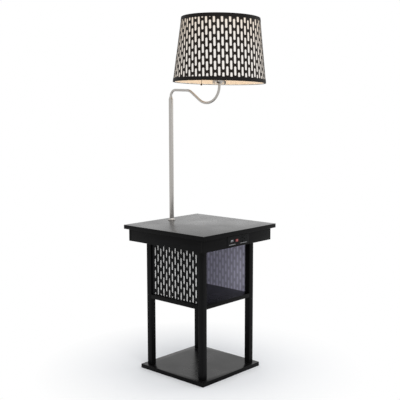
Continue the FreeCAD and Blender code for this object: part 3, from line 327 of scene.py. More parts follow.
@dataclass(frozen=True)
class Moulding:
    """Moulded plastic or rubber with a fine texture."""

    name: str
    colour: Triple
    gloss: float = 0.42
    texture: float = 2200.0
    depth: float = 0.00003
    shine: float = 0.5

    def material(self) -> bpy.types.Material:
        """Lay the finish out."""
        mix = Recipe(self.name)
        pebbles = mix.noise(self.texture, 2.0, None, 0.4)
        worn = mix.noise(60.0, 3.0)
        darker = tuple(part * 0.8 for part in self.colour)
        mix.main(Base_Color=mix.blend(mix.spread(worn, 0.35, 0.65), darker, self.colour),
                 Roughness=mix.spread(worn, 0.3, 0.7, self.gloss - 0.05, self.gloss + 0.07),
                 Specular_IOR_Level=self.shine)
        mix.relief(pebbles, self.depth, 0.5)
        return mix.material


@dataclass(frozen=True)
class LitButton:
    """Red translucent plastic with a small lamp behind its middle."""

    name: str
    centre: Triple
    reach: float
    colour: Triple = (0.09, 0.004, 0.005)
    glow: Triple = (0.62, 0.17, 0.16)
    edge: Triple = (0.055, 0.002, 0.003)
    strength: float = 0.5

    def material(self) -> bpy.types.Material:
        """Lay the finish out."""
        mix = Recipe(self.name)
        heat = mix.spread(mix.distance(self.centre), 0.0, self.reach * MM, 1.0, 0.0)
        mottle = mix.noise(700.0, 2.0)
        paler = tuple(part * 1.25 for part in self.colour)
        mix.main(Base_Color=mix.blend(mottle, self.colour, paler),
                 Roughness=0.22, Emission_Color=mix.blend(heat, self.edge, self.glow),
                 Emission_Strength=self.strength)
        return mix.material


@dataclass(frozen=True)
class WhiteSheet:
    """Plain white plastic sheet, as it shows through the slots from outside."""

    name: str
    colour: Triple = (0.86, 0.86, 0.84)
    gloss: float = 0.4

    def material(self) -> bpy.types.Material:
        """Lay the finish out."""
        mix = Recipe(self.name)
        fibres = mix.noise(240.0, 4.0, None, 0.6)
        cool = tuple(part * 0.95 for part in self.colour)
        mix.main(Base_Color=mix.blend(mix.spread(fibres, 0.3, 0.7), cool, self.colour),
                 Roughness=self.gloss)
        mix.relief(fibres, 0.00003, 0.4)
        return mix.material


@dataclass(frozen=True)
class SlotShadow:
    """White sheet seen from inside the compartment: painted shade, with painted light through the
    slots and a faint painted glow.
    """

    name: str
    across: str
    pitch: float
    period: float
    phase: float
    lit: Triple = (0.54, 0.53, 0.66)
    dim: Triple = (0.31, 0.30, 0.37)
    glow: float = 0.1

    def material(self) -> bpy.types.Material:
        """Lay the finish out."""
        mix = Recipe(self.name)
        sideways = mix.axis(mix.place, self.across)
        column = mix.sum("DIVIDE", sideways, self.pitch * MM)
        nearest = mix.sum("ROUND", column)
        off = mix.sum("ABSOLUTE", mix.sum("SUBTRACT", column, nearest))
        odd = mix.sum("MULTIPLY", mix.sum("FLOORED_MODULO", nearest, 2.0), 0.5)
        height = mix.sum("DIVIDE", mix.sum("SUBTRACT", mix.axis(mix.place, "Z"), self.phase * MM),
                         self.period * MM)
        along = mix.sum("SUBTRACT", height, odd)
        apart = mix.sum("ABSOLUTE", mix.sum("SUBTRACT", along, mix.sum("ROUND", along)))
        # Mask of the slots, where the light coming through them is painted brighter.
        sideways_in = mix.spread(off, 0.18, 0.34, 1.0, 0.0)
        painted_slot_light = mix.sum("MULTIPLY", sideways_in, mix.spread(apart, 0.3, 0.42, 1.0, 0.0))
        soft = mix.sum("MULTIPLY_ADD", painted_slot_light, 0.8, mix.sum("MULTIPLY", mix.noise(30.0, 2.0), 0.2))
        # Painted shade (dim) and painted light through the slots (lit), also shown as a faint
        # painted glow.
        tone = mix.blend(soft, self.dim, self.lit)
        mix.main(Base_Color=tone, Roughness=0.5, Emission_Color=tone, Emission_Strength=self.glow)
        return mix.material


@dataclass(frozen=True)
class GlowingSheet:
    """White shade lining with painted light from the lamp within: a painted glow, brightest round
    one spot, over a base colour painted darker and warmer away from it.
    """

    name: str
    centre: Triple
    bright: Triple = (1.0, 0.95, 0.89)
    far: Triple = (0.98, 0.75, 0.54)
    sheet: Triple = (0.46, 0.45, 0.43)
    sheet_far_painted_shade: Triple = (0.46, 0.39, 0.30)
    strength: float = 0.36
    reach: Pair = (110.0, 300.0)

    def material(self) -> bpy.types.Material:
        """Lay the finish out."""
        mix = Recipe(self.name)
        near, far = self.reach
        # Painted light: away from the spot, the glow fades from bright to warm and the base colour
        # darkens.
        fade = mix.spread(mix.distance(self.centre), near * MM, far * MM)
        fibres = mix.noise(160.0, 4.0, None, 0.6)
        shade = mix.sum("MULTIPLY_ADD", fibres, 0.16, fade)
        tone = mix.blend(shade, self.bright, self.far)
        mix.main(Base_Color=mix.blend(shade, self.sheet, self.sheet_far_painted_shade), Roughness=0.55,
                 Emission_Color=tone, Emission_Strength=self.strength)
        mix.relief(fibres, 0.00004, 0.4)
        return mix.material


@dataclass(frozen=True)
class Timber:
    """Plain pale hardwood for dowels."""

    name: str
    grain: Grain
    late_wood: Triple = (0.5, 0.33, 0.19)
    early_wood: Triple = (0.66, 0.47, 0.29)

    def material(self) -> bpy.types.Material:
        """Lay the finish out."""
        mix = Recipe(self.name)
        rings = mix.noise(300.0, 4.0, mix.stretched(self.grain), 0.6)
        mix.main(Base_Color=mix.blend(rings, self.late_wood, self.early_wood), Roughness=0.6)
        mix.relief(rings, 0.0001, 0.5)
        return mix.material


@dataclass(frozen=True)
class OpalGlass:
    """White-coated bulb glass that glows."""

    name: str
    coat: Triple = (0.9, 0.88, 0.83)
    warm: Triple = (1.0, 0.90, 0.72)
    pale: Triple = (1.0, 0.95, 0.84)
    strength: float = 1.6

    def material(self) -> bpy.types.Material:
        """Lay the finish out."""
        mix = Recipe(self.name)
        light = mix.blend(mix.noise(90.0, 2.0), self.warm, self.pale)
        mix.main(Base_Color=self.coat, Roughness=0.18, Emission_Color=light,
                 Emission_Strength=self.strength)
        return mix.material


LAMINATE_X = Laminate("black_laminate_x", Grain.ALONG_X)
LAMINATE_Y = Laminate("black_laminate_y", Grain.ALONG_Y)
LAMINATE_Z = Laminate("black_laminate_z", Grain.ALONG_Z)
# Upward faces of the table top: a lighter copy of the laminate that paints the light falling on the
# top, with more shine.
LAMINATE_TOP_PAINTED_LIGHT = Laminate("black_laminate_top_painted_light", Grain.ALONG_X, (0.014, 0.014, 0.0145),
                        (0.026, 0.0255, 0.026), 0.27, 0.72)
LAMINATE_BASE = Laminate("black_laminate_base", Grain.ALONG_X, gloss=0.28, shine=0.15)
NICKEL = BrushedMetal("satin_nickel")
NICKEL_RUN = BrushedMetal("satin_nickel_run", brushing=Grain.ALONG_Y)
STEEL = BrushedMetal("zinc_steel", (0.62, 0.63, 0.66), 0.33, Grain.ALONG_Z, 900.0)
BRASS = BrushedMetal("brass_sleeve", (0.78, 0.56, 0.25), 0.3)
ANTIQUE = BrushedMetal("antique_brass", (0.11, 0.08, 0.05), 0.42)
BLACK_PLASTIC = Moulding("black_plastic", (0.006, 0.006, 0.0065), 0.4, shine=0.06)
WHITE_WIRE = Moulding("white_wire", (0.78, 0.76, 0.73), 0.38, 1200.0)
TOP_PRINT = Moulding("top_print", (0.52, 0.52, 0.52), 0.5)
PHENOLIC = Moulding("black_phenolic", (0.012, 0.011, 0.010), 0.3, 1500.0)
BLACK_SKIN = Moulding("black_skin", (0.005, 0.005, 0.0055), 0.34, 1800.0, shine=0.06)
# Black sheet of the shade; its warm brown tint is painted light from the lamp within.
SHADE_SKIN = Moulding("shade_skin", (0.013, 0.0092, 0.0062), 0.5, 1400.0, 0.00003, 0.12)
TRIM_TAPE = Moulding("black_trim", (0.009, 0.0075, 0.0065), 0.6, 900.0, 0.00006, 0.1)
PALE_PRINT = Moulding("pale_print", (0.30, 0.30, 0.31), 0.5)
NYLON = Moulding("nylon", (0.62, 0.61, 0.57), 0.35)
BEECH = Timber("beech", Grain.ALONG_X)

Finish = Union[Laminate, BrushedMetal, Moulding, LitButton, WhiteSheet, SlotShadow, GlowingSheet,
               Timber, OpalGlass]


# ---- shaping -----------------------------------------------------------------------------------


def rounded(points: Sequence[Pair], radius: float, steps: int = 4,
            closed: bool = True) -> List[Pair]:
    """Round the corners of an outline.

    Args:
        points: corners in order.
        radius: rounding, made smaller where an edge is short.
        steps: points in each rounding, less one.
        closed: whether the last corner joins the first.

    Returns:
        The new outline.
    """
    result: List[Pair] = []
    count = len(points)
    for index, corner in enumerate(points):
        if not closed and index in (0, count - 1):
            result.append(corner)
            continue
        here = Vector(corner)
        before, after = Vector(points[index - 1]) - here, Vector(points[(index + 1) % count]) - here
        if before.length < 1e-6 or after.length < 1e-6:
            continue
        angle = before.angle(after)
        if angle > NEARLY_STRAIGHT:
            result.append(corner)
            continue
        reach = min(radius / math.tan(angle / 2), before.length * 0.48, after.length * 0.48)
        start, end = here + before.normalized() * reach, here + after.normalized() * reach
        for step in range(steps + 1):
            share = step / steps
            first, second = start.lerp(here, share), here.lerp(end, share)
            spot = first.lerp(second, share)
            result.append((spot.x, spot.y))
    return result


def strip(line: Sequence[Pair], thickness: float) -> List[Pair]:
    """Closed outline of a bent sheet from the line of its outer face.

    Args:
        line: points on the outer face; the sheet lies on the left of the way along it.
        thickness: sheet's thickness.

    Returns:
        The closed outline.
    """
    spots = [Vector(point) for point in line]
    inner = []
    for index, spot in enumerate(spots):
        ahead = (spots[min(index + 1, len(spots) - 1)] - spots[max(index - 1, 0)]).normalized()
        inner.append(spot + Vector((-ahead.y, ahead.x)) * thickness)
    return [tuple(spot) for spot in spots] + [tuple(spot) for spot in reversed(inner)]


def square(width: float, depth: float, centre: Pair = (0.0, 0.0)) -> List[Pair]:
    """Corners of a rectangle about a centre."""
    x, y = centre
    return [(x - width / 2, y - depth / 2), (x + width / 2, y - depth / 2),
            (x + width / 2, y + depth / 2), (x - width / 2, y + depth / 2)]


def disc(radius: float, centre: Pair = (0.0, 0.0), count: int = 32) -> List[Pair]:
    """Points of a circle about a centre."""
    return [(centre[0] + radius * math.cos(2 * math.pi * step / count),
             centre[1] + radius * math.sin(2 * math.pi * step / count)) for step in range(count)]


def solid(name: str, points: Iterable[Sequence[float]], faces: Iterable[Sequence[int]],
          place: Optional[Matrix] = None, crease: float = SOFT_EDGE) -> bpy.types.Object:
    """Make a mesh from points in millimetres.

    Args:
        name: piece's name.
        points: corners, in millimetres.
        faces: corners of each face.
        place: where the piece's own frame lies, in millimetres.
        crease: angle in degrees above which an edge stays sharp.

    Returns:
        The new object, in the part's frame.
    """
    array = np.asarray(list(points), float)
    if place is not None:
        turn, shift = np.array(place.to_3x3()), np.array(place.translation)
        array = array @ turn.T + shift
    mesh = bpy.data.meshes.new(name)
    mesh.from_pydata((array * MM).tolist(), [], [list(face) for face in faces])
    mesh.validate()
    mesh.polygons.foreach_set("use_smooth", [True] * len(mesh.polygons))
    mesh.set_sharp_from_angle(angle=math.radians(crease))
    thing = bpy.data.objects.new(name, mesh)
    bpy.context.scene.collection.objects.link(thing)
    return thing


def from_bmesh(name: str, shape: bmesh.types.BMesh, place: Optional[Matrix] = None,
               crease: float = SOFT_EDGE) -> bpy.types.Object:
    """Make an object from an edit mesh in millimetres, and free the edit mesh."""
    bmesh.ops.recalc_face_normals(shape, faces=shape.faces)
    shape.verts.index_update()
    points = [tuple(corner.co) for corner in shape.verts]
    faces = [[corner.index for corner in face.verts] for face in shape.faces]
    shape.free()
    return solid(name, points, faces, place, crease)


def slab(name: str, outline: Sequence[Pair], low: float, high: float, ease: float = 0.5,
         place: Optional[Matrix] = None, steps: int = 3) -> bpy.types.Object:
    """Board or plate of a given outline with all its edges eased.

    Args:
        name: piece's name.
        outline: corners in the plate's plane.
        low: lower face.
        high: upper face.
        ease: rounding of the edges.
        place: where the plate's frame lies.
        steps: segments in the rounding.

    Returns:
        The new object.
    """
    shape = bmesh.new()
    ring = [shape.verts.new((x, y, low)) for x, y in outline]
    face = shape.faces.new(ring)
    grown = bmesh.ops.extrude_face_region(shape, geom=[face])
    for corner in grown["geom"]:
        if isinstance(corner, bmesh.types.BMVert):
            corner.co.z = high
    shape.faces.ensure_lookup_table()
    bmesh.ops.recalc_face_normals(shape, faces=shape.faces)
    if ease > 0:
        sharp = [edge for edge in shape.edges if len(edge.link_faces) == 2
                 and edge.calc_face_angle() > FOLDED]
        bmesh.ops.bevel(shape, geom=sharp, offset=ease, segments=steps, profile=0.5, affect="EDGES",
                        clamp_overlap=True)
    return from_bmesh(name, shape, place)


def turned(name: str, outline: Sequence[Pair], place: Optional[Matrix] = None, segments: int = 72,
           closed: bool = True, crease: float = SOFT_EDGE) -> bpy.types.Object:
    """Piece turned about its Z axis.

    Args:
        name: piece's name.
        outline: points (radius, height).
        place: where the piece's frame lies.
        segments: steps round the axis.
        closed: whether the last point joins the first.
        crease: angle above which an edge stays sharp.

    Returns:
        The new object.
    """
    points: List[Triple] = []
    rings: List[List[int]] = []
    for radius, height in outline:
        if radius < 1e-6:
            rings.append([len(points)] * segments)
            points.append((0.0, 0.0, height))
            continue
        rings.append(list(range(len(points), len(points) + segments)))
        points.extend((radius * math.cos(2 * math.pi * step / segments),
                       radius * math.sin(2 * math.pi * step / segments), height)
                      for step in range(segments))
    faces = []
    pairs = list(zip(rings, rings[1:])) + ([(rings[-1], rings[0])] if closed else [])
    for lower, upper in pairs:
        for step in range(segments):
            after = (step + 1) % segments
            corners = [lower[step], lower[after], upper[after], upper[step]]
            single = list(dict.fromkeys(corners))
            if len(single) > 2:
                faces.append(single)
    shape = bmesh.new()
    corners_made = [shape.verts.new(point) for point in points]
    for face in faces:
        try:
            shape.faces.new([corners_made[index] for index in face])
        except ValueError:
            continue
    return from_bmesh(name, shape, place, crease)


def pipe(name: str, path: Sequence[Vector], radius: float, bore: float,
         sides: int) -> bpy.types.Object:
    """Round tube along a smooth path.

    Args:
        name: piece's name.
        path: points along the middle, in millimetres.
        radius: outer radius.
        bore: inner radius.
        sides: steps round the tube.

    Returns:
        The new object.
    """
    ways = [(ahead - behind).normalized()
            for ahead, behind in zip([*path[1:], path[-1]], [path[0], *path[:-1]])]
    side = ways[0].orthogonal().normalized()
    shape = bmesh.new()
    rings: List[List[List[bmesh.types.BMVert]]] = []
    for spot, way in zip(path, ways):
        side = (side - way * side.dot(way)).normalized()
        up = way.cross(side)
        angles = [2 * math.pi * step / sides for step in range(sides)]
        rings.append([[shape.verts.new(spot + side * (size * math.cos(angle))
                                       + up * (size * math.sin(angle))) for angle in angles]
                      for size in (radius, bore)])
    for (outer, inner), (next_outer, next_inner) in zip(rings, rings[1:]):
        for step in range(sides):
            after = (step + 1) % sides
            shape.faces.new([outer[step], outer[after], next_outer[after], next_outer[step]])
            shape.faces.new([next_inner[step], next_inner[after], inner[after], inner[step]])
    for outer, inner in (rings[0], rings[-1]):
        for step in range(sides):
            after = (step + 1) % sides
            shape.faces.new([outer[step], outer[after], inner[after], inner[step]])
    return from_bmesh(name, shape)


def walk(start: Vector, heading: float, steps: Sequence[Sequence[float]],
         spacing: float = 2.0) -> List[Vector]:
    """Points of a smooth path in the YZ plane.

    Args:
        start: first point.
        heading: degrees from straight up towards -Y.
        steps: a run (length,) or a bend (radius, turn in degrees) each.
        spacing: most millimetres between two points.

    Returns:
        The points, the first one included.
    """
    points = [start.copy()]
    for step in steps:
        here = points[-1]
        if len(step) == 1:
            way = Vector((0, -math.sin(math.radians(heading)), math.cos(math.radians(heading))))
            count = max(1, math.ceil(step[0] / (spacing * 4)))
            points.extend(here + way * (step[0] * index / count) for index in range(1, count + 1))
            continue
        radius, turn = step
        sign = math.copysign(1.0, turn)
        across = math.radians(heading + 90 * sign)
        centre = here + Vector((0, -math.sin(across), math.cos(across))) * radius
        count = max(2, math.ceil(radius * math.radians(abs(turn)) / spacing))
        for index in range(1, count + 1):
            angle = math.radians(turn * index / count)
            spoke = here - centre
            points.append(centre + Matrix.Rotation(angle, 3, "X") @ spoke)
        heading += turn
    return points


def merge(name: str, things: Sequence[bpy.types.Object]) -> bpy.types.Object:
    """Put several like meshes into one piece and remove the loose ones."""
    shape = bmesh.new()
    for thing in things:
        shape.from_mesh(thing.data)
    for thing in things:
        bpy.data.objects.remove(thing)
    for corner in shape.verts:
        corner.co /= MM
    return from_bmesh(name, shape)


def cut(thing: bpy.types.Object, cutters: Sequence[bpy.types.Object]) -> bpy.types.Object:
    """Take cutters away from a piece and remove them."""
    for cutter in cutters:
        step = thing.modifiers.new("cut", "BOOLEAN")
        step.operation, step.solver, step.object = "DIFFERENCE", "EXACT", cutter
    graph = bpy.context.evaluated_depsgraph_get()
    mesh = bpy.data.meshes.new_from_object(thing.evaluated_get(graph))
    thing.modifiers.clear()
    thing.data = mesh
    mesh.set_sharp_from_angle(angle=math.radians(SOFT_EDGE))
    for cutter in cutters:
        bpy.data.objects.remove(cutter)
    return thing


def facing_front(x: float = 0.0, y: float = 0.0, z: float = 0.0) -> Matrix:
    """Frame whose plate plane is upright and whose normal looks to the front, -Y."""
    return Matrix.Translation((x, y, z)) @ Matrix.Rotation(math.radians(90), 4, "X")


@dataclass
class Joinery:
    """Books each finished piece: its finish, its body and the CAD nodes it stands for."""

    frame: dict
    painted: Dict[str, bpy.types.Material] = field(default_factory=dict)

    def paint(self, finish: Finish) -> bpy.types.Material:
        """Material of a finish, made once."""
        if finish.name not in self.painted:
            self.painted[finish.name] = finish.material()
        return self.painted[finish.name]

    def fit(self, thing: bpy.types.Object, body: Body, slot: str, finish: Finish,
            instead_of: Sequence[str] = (), on_top: Optional[Finish] = None) -> bpy.types.Object:
        """Finish a built piece.

        Args:
            thing: the piece, in place.
            body: what it moves with.
            slot: material slot of the record; not used.
            finish: its finish.
            instead_of: CAD nodes that it stands for.
            on_top: finish of the faces that look up: a glossier copy, or a lighter copy that paints
                the light falling on them.

        Returns:
            The piece.
        """
        thing.data.materials.clear()
        thing.data.materials.append(self.paint(finish))
        if on_top is not None:
            thing.data.materials.append(self.paint(on_top))
            for side in thing.data.polygons:
                side.material_index = int(side.normal.z > LOOKS_UP)
        if instead_of:
            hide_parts(*instead_of)
        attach(thing, body.value)
        LOG.info("%s: %d faces, on %s", thing.name, len(thing.data.polygons), body.value)
        return thing

    def carry(self, nodes: Sequence[str], slot: str, finish: Finish) -> None:
        """Dress CAD nodes that are shown as they are.

        Args:
            nodes: their names.
            slot: material slot of the record; not used.
            finish: their finish.
        """
        for name in nodes:
            thing = self.frame["nodes"][name]
            if not thing.material_slots:
                thing.data.materials.append(None)
            for holder in thing.material_slots:
                holder.link = "OBJECT"
                holder.material = self.paint(finish)
            LOG.info("%s: carried over", name)


# ---- table -------------------------------------------------------------------------------------


@dataclass
class Carcass:
    """Boards of the table: base, legs, compartment floor, apron box and top."""

    shop: Joinery
    base_side: float = 317.0
    base_thickness: float = 15.0
    leg_width: float = 22.0
    leg_spread: float = 282.0
    leg_top: float = 488.0
    shelf: Pair = (271.0, 286.0)
    soffit_top: float = 497.0
    apron_side: float = 373.0
    apron_wall: float = 12.0
    apron_top: float = 533.0
    top_side: float = 400.0
    top_height: float = 548.0
    ease: float = 0.8
    thin_ease: float = 0.5
    soffit_ease: float = 0.3
    screw_shank: float = 2.3
    screw_head: float = 4.55
    screw_sink: float = 3.0
    rod_place: float = 148.0
    rod_hole: float = 5.05
    gland_hole: float = 5.55
    gland_place: Pair = (60.0, 510.5)
    window: Tuple[float, float, float, float] = (-4.0, 510.0, 112.0, 30.0)
    mark_radii: Pair = (19.0, 8.0)
    mark_line: float = 1.3
    mark_rise: float = 0.06

    def build(self) -> None:
        """Build and dress every board."""
        self.base()
        self.legs()
        self.compartment_floor()
        self.apron()
        self.top()

    def leg_places(self) -> List[Pair]:
        """Axes of the four legs."""
        reach = (self.leg_spread - self.leg_width) / 2
        return [(side_x * reach, side_y * reach) for side_x in (-1, 1) for side_y in (-1, 1)]

    def countersinks(self, low: float, high: float, upwards: bool) -> List[bpy.types.Object]:
        """Cutters for the screw holes of a board.

        Args:
            low: under the board.
            high: over the board.
            upwards: True where the screws' heads lie in the lower face.

        Returns:
            The cutters.
        """
        cutters = []
        for x, y in self.leg_places():
            outline = [(0.0, low - 1), (self.screw_head, low - 1), (self.screw_head, low),
                       (self.screw_shank, low + self.screw_sink), (self.screw_shank, high + 1),
                       (0.0, high + 1)]
            if not upwards:
                outline = [(radius, low + high - level) for radius, level in outline]
            cutters.append(turned("sink", outline, Matrix.Translation((x, y, 0)), 32))
        return cutters

    def base(self) -> None:
        """Base board with its countersunk holes underneath."""
        board = slab("base_board_eased", square(self.base_side, self.base_side), 0,
                     self.base_thickness, self.ease)
        cut(board, self.countersinks(0, self.base_thickness, True))
        self.shop.fit(board, Body.STAND, "black_laminate", LAMINATE_X, ["base_board"],
                      LAMINATE_BASE)
        self.shop.carry(["base_screws", "soffit_screws"], "zinc_steel", STEEL)

    def legs(self) -> None:
        """Four square legs."""
        names = ("front_left", "rear_left", "front_right", "rear_right")
        for name, place in zip(names, self.leg_places()):
            leg = slab(f"leg_{name}_eased", square(self.leg_width, self.leg_width, place),
                       self.base_thickness, self.leg_top, self.ease)
            self.shop.fit(leg, Body.STAND, "black_laminate", LAMINATE_Z, [f"leg_{name}"])

    def compartment_floor(self) -> None:
        """Floor of the compartment, notched round the legs."""
        half, notch = self.leg_spread / 2, self.leg_spread / 2 - self.leg_width
        corners = [(-notch, -half), (notch, -half), (notch, -notch), (half, -notch), (half, notch),
                   (notch, notch), (notch, half), (-notch, half), (-notch, notch), (-half, notch),
                   (-half, -notch), (-notch, -notch)]
        board = slab("shelf_board_eased", corners, *self.shelf, ease=self.thin_ease)
        self.shop.fit(board, Body.STAND, "black_laminate", LAMINATE_X, ["shelf_board"],
                      LAMINATE_BASE)
        self.shop.carry(["shelf_dowels"], "beech", BEECH)

    def apron(self) -> None:
        """Four apron boards and the board that closes them below."""
        half, wall = self.apron_side / 2, self.apron_wall
        inner = self.apron_side - 2 * wall
        for name, side in (("left", -1), ("right", 1)):
            board = slab(f"apron_{name}_eased", square(wall, inner, (side * (half - wall / 2), 0)),
                         self.leg_top, self.apron_top, self.thin_ease)
            self.shop.fit(board, Body.STAND, "black_laminate", LAMINATE_Y, [f"apron_{name}"])
        front = slab("apron_front_eased", square(self.apron_side, wall, (0, wall / 2 - half)),
                     self.leg_top, self.apron_top, self.thin_ease)
        x, z, width, height = self.window
        opening = square(width, 4 * wall, (x, -half))
        cut(front, [slab("window", opening, z - height / 2, z + height / 2, 0)])
        self.shop.fit(front, Body.STAND, "black_laminate", LAMINATE_X, ["apron_front"])
        rear = slab("apron_rear_eased", square(self.apron_side, wall, (0, half - wall / 2)),
                    self.leg_top, self.apron_top, self.thin_ease)
        gland = facing_front(self.gland_place[0], half, self.gland_place[1])
        bore = [(0, -20), (self.gland_hole, -20), (self.gland_hole, 20), (0, 20)]
        cut(rear, [turned("hole", bore, gland, 40)])
        self.shop.fit(rear, Body.STAND, "black_laminate", LAMINATE_X, ["apron_rear"])
        soffit = slab("soffit_board_eased", square(inner, inner), self.leg_top, self.soffit_top,
                      self.soffit_ease)
        cut(soffit, self.countersinks(self.leg_top, self.soffit_top, False))
        self.shop.fit(soffit, Body.STAND, "black_laminate", LAMINATE_X, ["soffit_board"])

    def top(self) -> None:
        """Table top, and the two faint printed rings over the charging coil."""
        board = slab("table_top_eased", square(self.top_side, self.top_side), self.apron_top,
                     self.top_height, self.ease)
        hole = [(0, self.apron_top - 1), (self.rod_hole, self.apron_top - 1),
                (self.rod_hole, self.top_height + 1), (0, self.top_height + 1)]
        cut(board, [turned("rod_hole", hole, Matrix.Translation((0, self.rod_place, 0)), 40)])
        # The top's upward faces get the lighter copy: painted light.
        self.shop.fit(board, Body.STAND, "black_laminate", LAMINATE_X, ["table_top"], LAMINATE_TOP_PAINTED_LIGHT)
        low, high = self.top_height, self.top_height + self.mark_rise
        rings = []
        for inner in self.mark_radii:
            outer = inner + self.mark_line
            line = [(inner, low), (inner, high), (outer, high), (outer, low)]
            rings.append(turned("ring", line, None, 96))
        self.shop.fit(merge("top_mark", rings), Body.STAND, "black_laminate", TOP_PRINT)
        self.shop.carry(["charging_puck"], "black_plastic", BLACK_PLASTIC)


@dataclass
class LatticeSides:
    """Pierced black panels with white sheets behind them on three sides of the compartment."""

    shop: Joinery
    floor: float = 286.0
    height: float = 202.0
    width: float = 238.0
    face: float = 135.0
    skin: float = 3.0
    pitch: float = 14.7
    columns: int = 15
    period: float = 42.1
    centre_row: float = 16.4
    slot_width: float = 7.6
    slot_length: float = 31.5
    margin: float = 3.0

    def build(self) -> None:
        """Build the three skins and dress the sheets."""
        for name, turn in (("left", -90), ("right", 90), ("rear", 180)):
            place = (Matrix.Rotation(math.radians(turn), 4, "Z")
                     @ Matrix.Translation((0, -self.face, self.floor))
                     @ Matrix.Rotation(math.radians(90), 4, "X"))
            self.shop.fit(self.skin_panel(f"lattice_{name}_pierced", place), Body.STAND,
                          "black_skin", BLACK_SKIN, [f"lattice_{name}"])
            self.sheet_panel(name)

    def sheet_panel(self, name: str) -> None:
        """White sheet behind one skin: a plain outer face and an inner face with painted shade and
        painted light through the slots.

        Args:
            name: side of the table.
        """
        low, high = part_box(f"liner_{name}")
        lower, upper = [part / MM for part in low], [part / MM for part in high]
        across = 0 if name in ("left", "right") else 1
        sign = -1 if name == "left" else 1
        middle = (lower[across] + upper[across]) / 2
        for label, finish in (("outer", WhiteSheet("white_sheet")),
                              ("inner", self.inner_finish(name))):
            bounds = [list(lower), list(upper)]
            near_outside = (label == "outer") == (sign > 0)
            bounds[0 if near_outside else 1][across] = middle
            (x0, y0, z0), (x1, y1, z1) = bounds
            sheet = slab(f"liner_{name}_{label}", [(x0, y0), (x1, y0), (x1, y1), (x0, y1)], z0, z1,
                         0.1, steps=1)
            self.shop.fit(sheet, Body.STAND, "white_liner", finish, [f"liner_{name}"])

    def inner_finish(self, name: str) -> SlotShadow:
        """Finish of a sheet's inner face, with painted shade and painted light through the slots.
        """
        across = "X" if name == "rear" else "Y"
        phase = self.floor + self.centre_row
        return SlotShadow(f"sheet_inside_painted_light_{across}", across, self.pitch, self.period, phase)

    def slots(self) -> List[List[Pair]]:
        """Outlines of the slots in a panel's own plane, x from its middle and y from its foot."""
        outlines = []
        half_width, straight = self.slot_width / 2, (self.slot_length - self.slot_width) / 2
        low, high = self.margin, self.height - self.margin
        for column in range(self.columns):
            x = (column - (self.columns - 1) / 2) * self.pitch
            aside = column - (self.columns - 1) // 2
            row = self.centre_row + (self.period / 2 if aside % 2 else 0) - 2 * self.period
            while row - self.slot_length / 2 < high:
                outline: List[Pair] = []
                for end in (1, -1):
                    for step in range(9):
                        angle = math.pi * step / 8 + (0 if end > 0 else math.pi)
                        y = row + end * straight + half_width * math.sin(angle)
                        spot = (x + half_width * math.cos(angle), min(max(y, low), high))
                        if not outline or math.dist(spot, outline[-1]) > 0.05:
                            outline.append(spot)
                if math.dist(outline[0], outline[-1]) < 0.05:
                    outline.pop()
                tall = max(y for _, y in outline) - min(y for _, y in outline)
                if tall > 2.0 and len(outline) > 3:
                    outlines.append(outline)
                row += self.period
        return outlines

    def skin_panel(self, name: str, place: Matrix) -> bpy.types.Object:
        """One pierced skin.

        Args:
            name: piece's name.
            place: frame with its normal outwards, on the skin's inner face.

        Returns:
            The new object.
        """
        shape = bmesh.new()
        edges = []
        for outline in [square(self.width, self.height, (0, self.height / 2)), *self.slots()]:
            ring = [shape.verts.new((x, y, 0)) for x, y in outline]
            edges.extend(shape.edges.new((ring[index - 1], ring[index]))
                         for index in range(len(ring)))
        bmesh.ops.triangle_fill(shape, use_beauty=True, use_dissolve=False, edges=edges)
        grown = bmesh.ops.extrude_face_region(shape, geom=list(shape.faces))
        for corner in grown["geom"]:
            if isinstance(corner, bmesh.types.BMVert):
                corner.co.z = -self.skin
        return from_bmesh(name, shape, place)


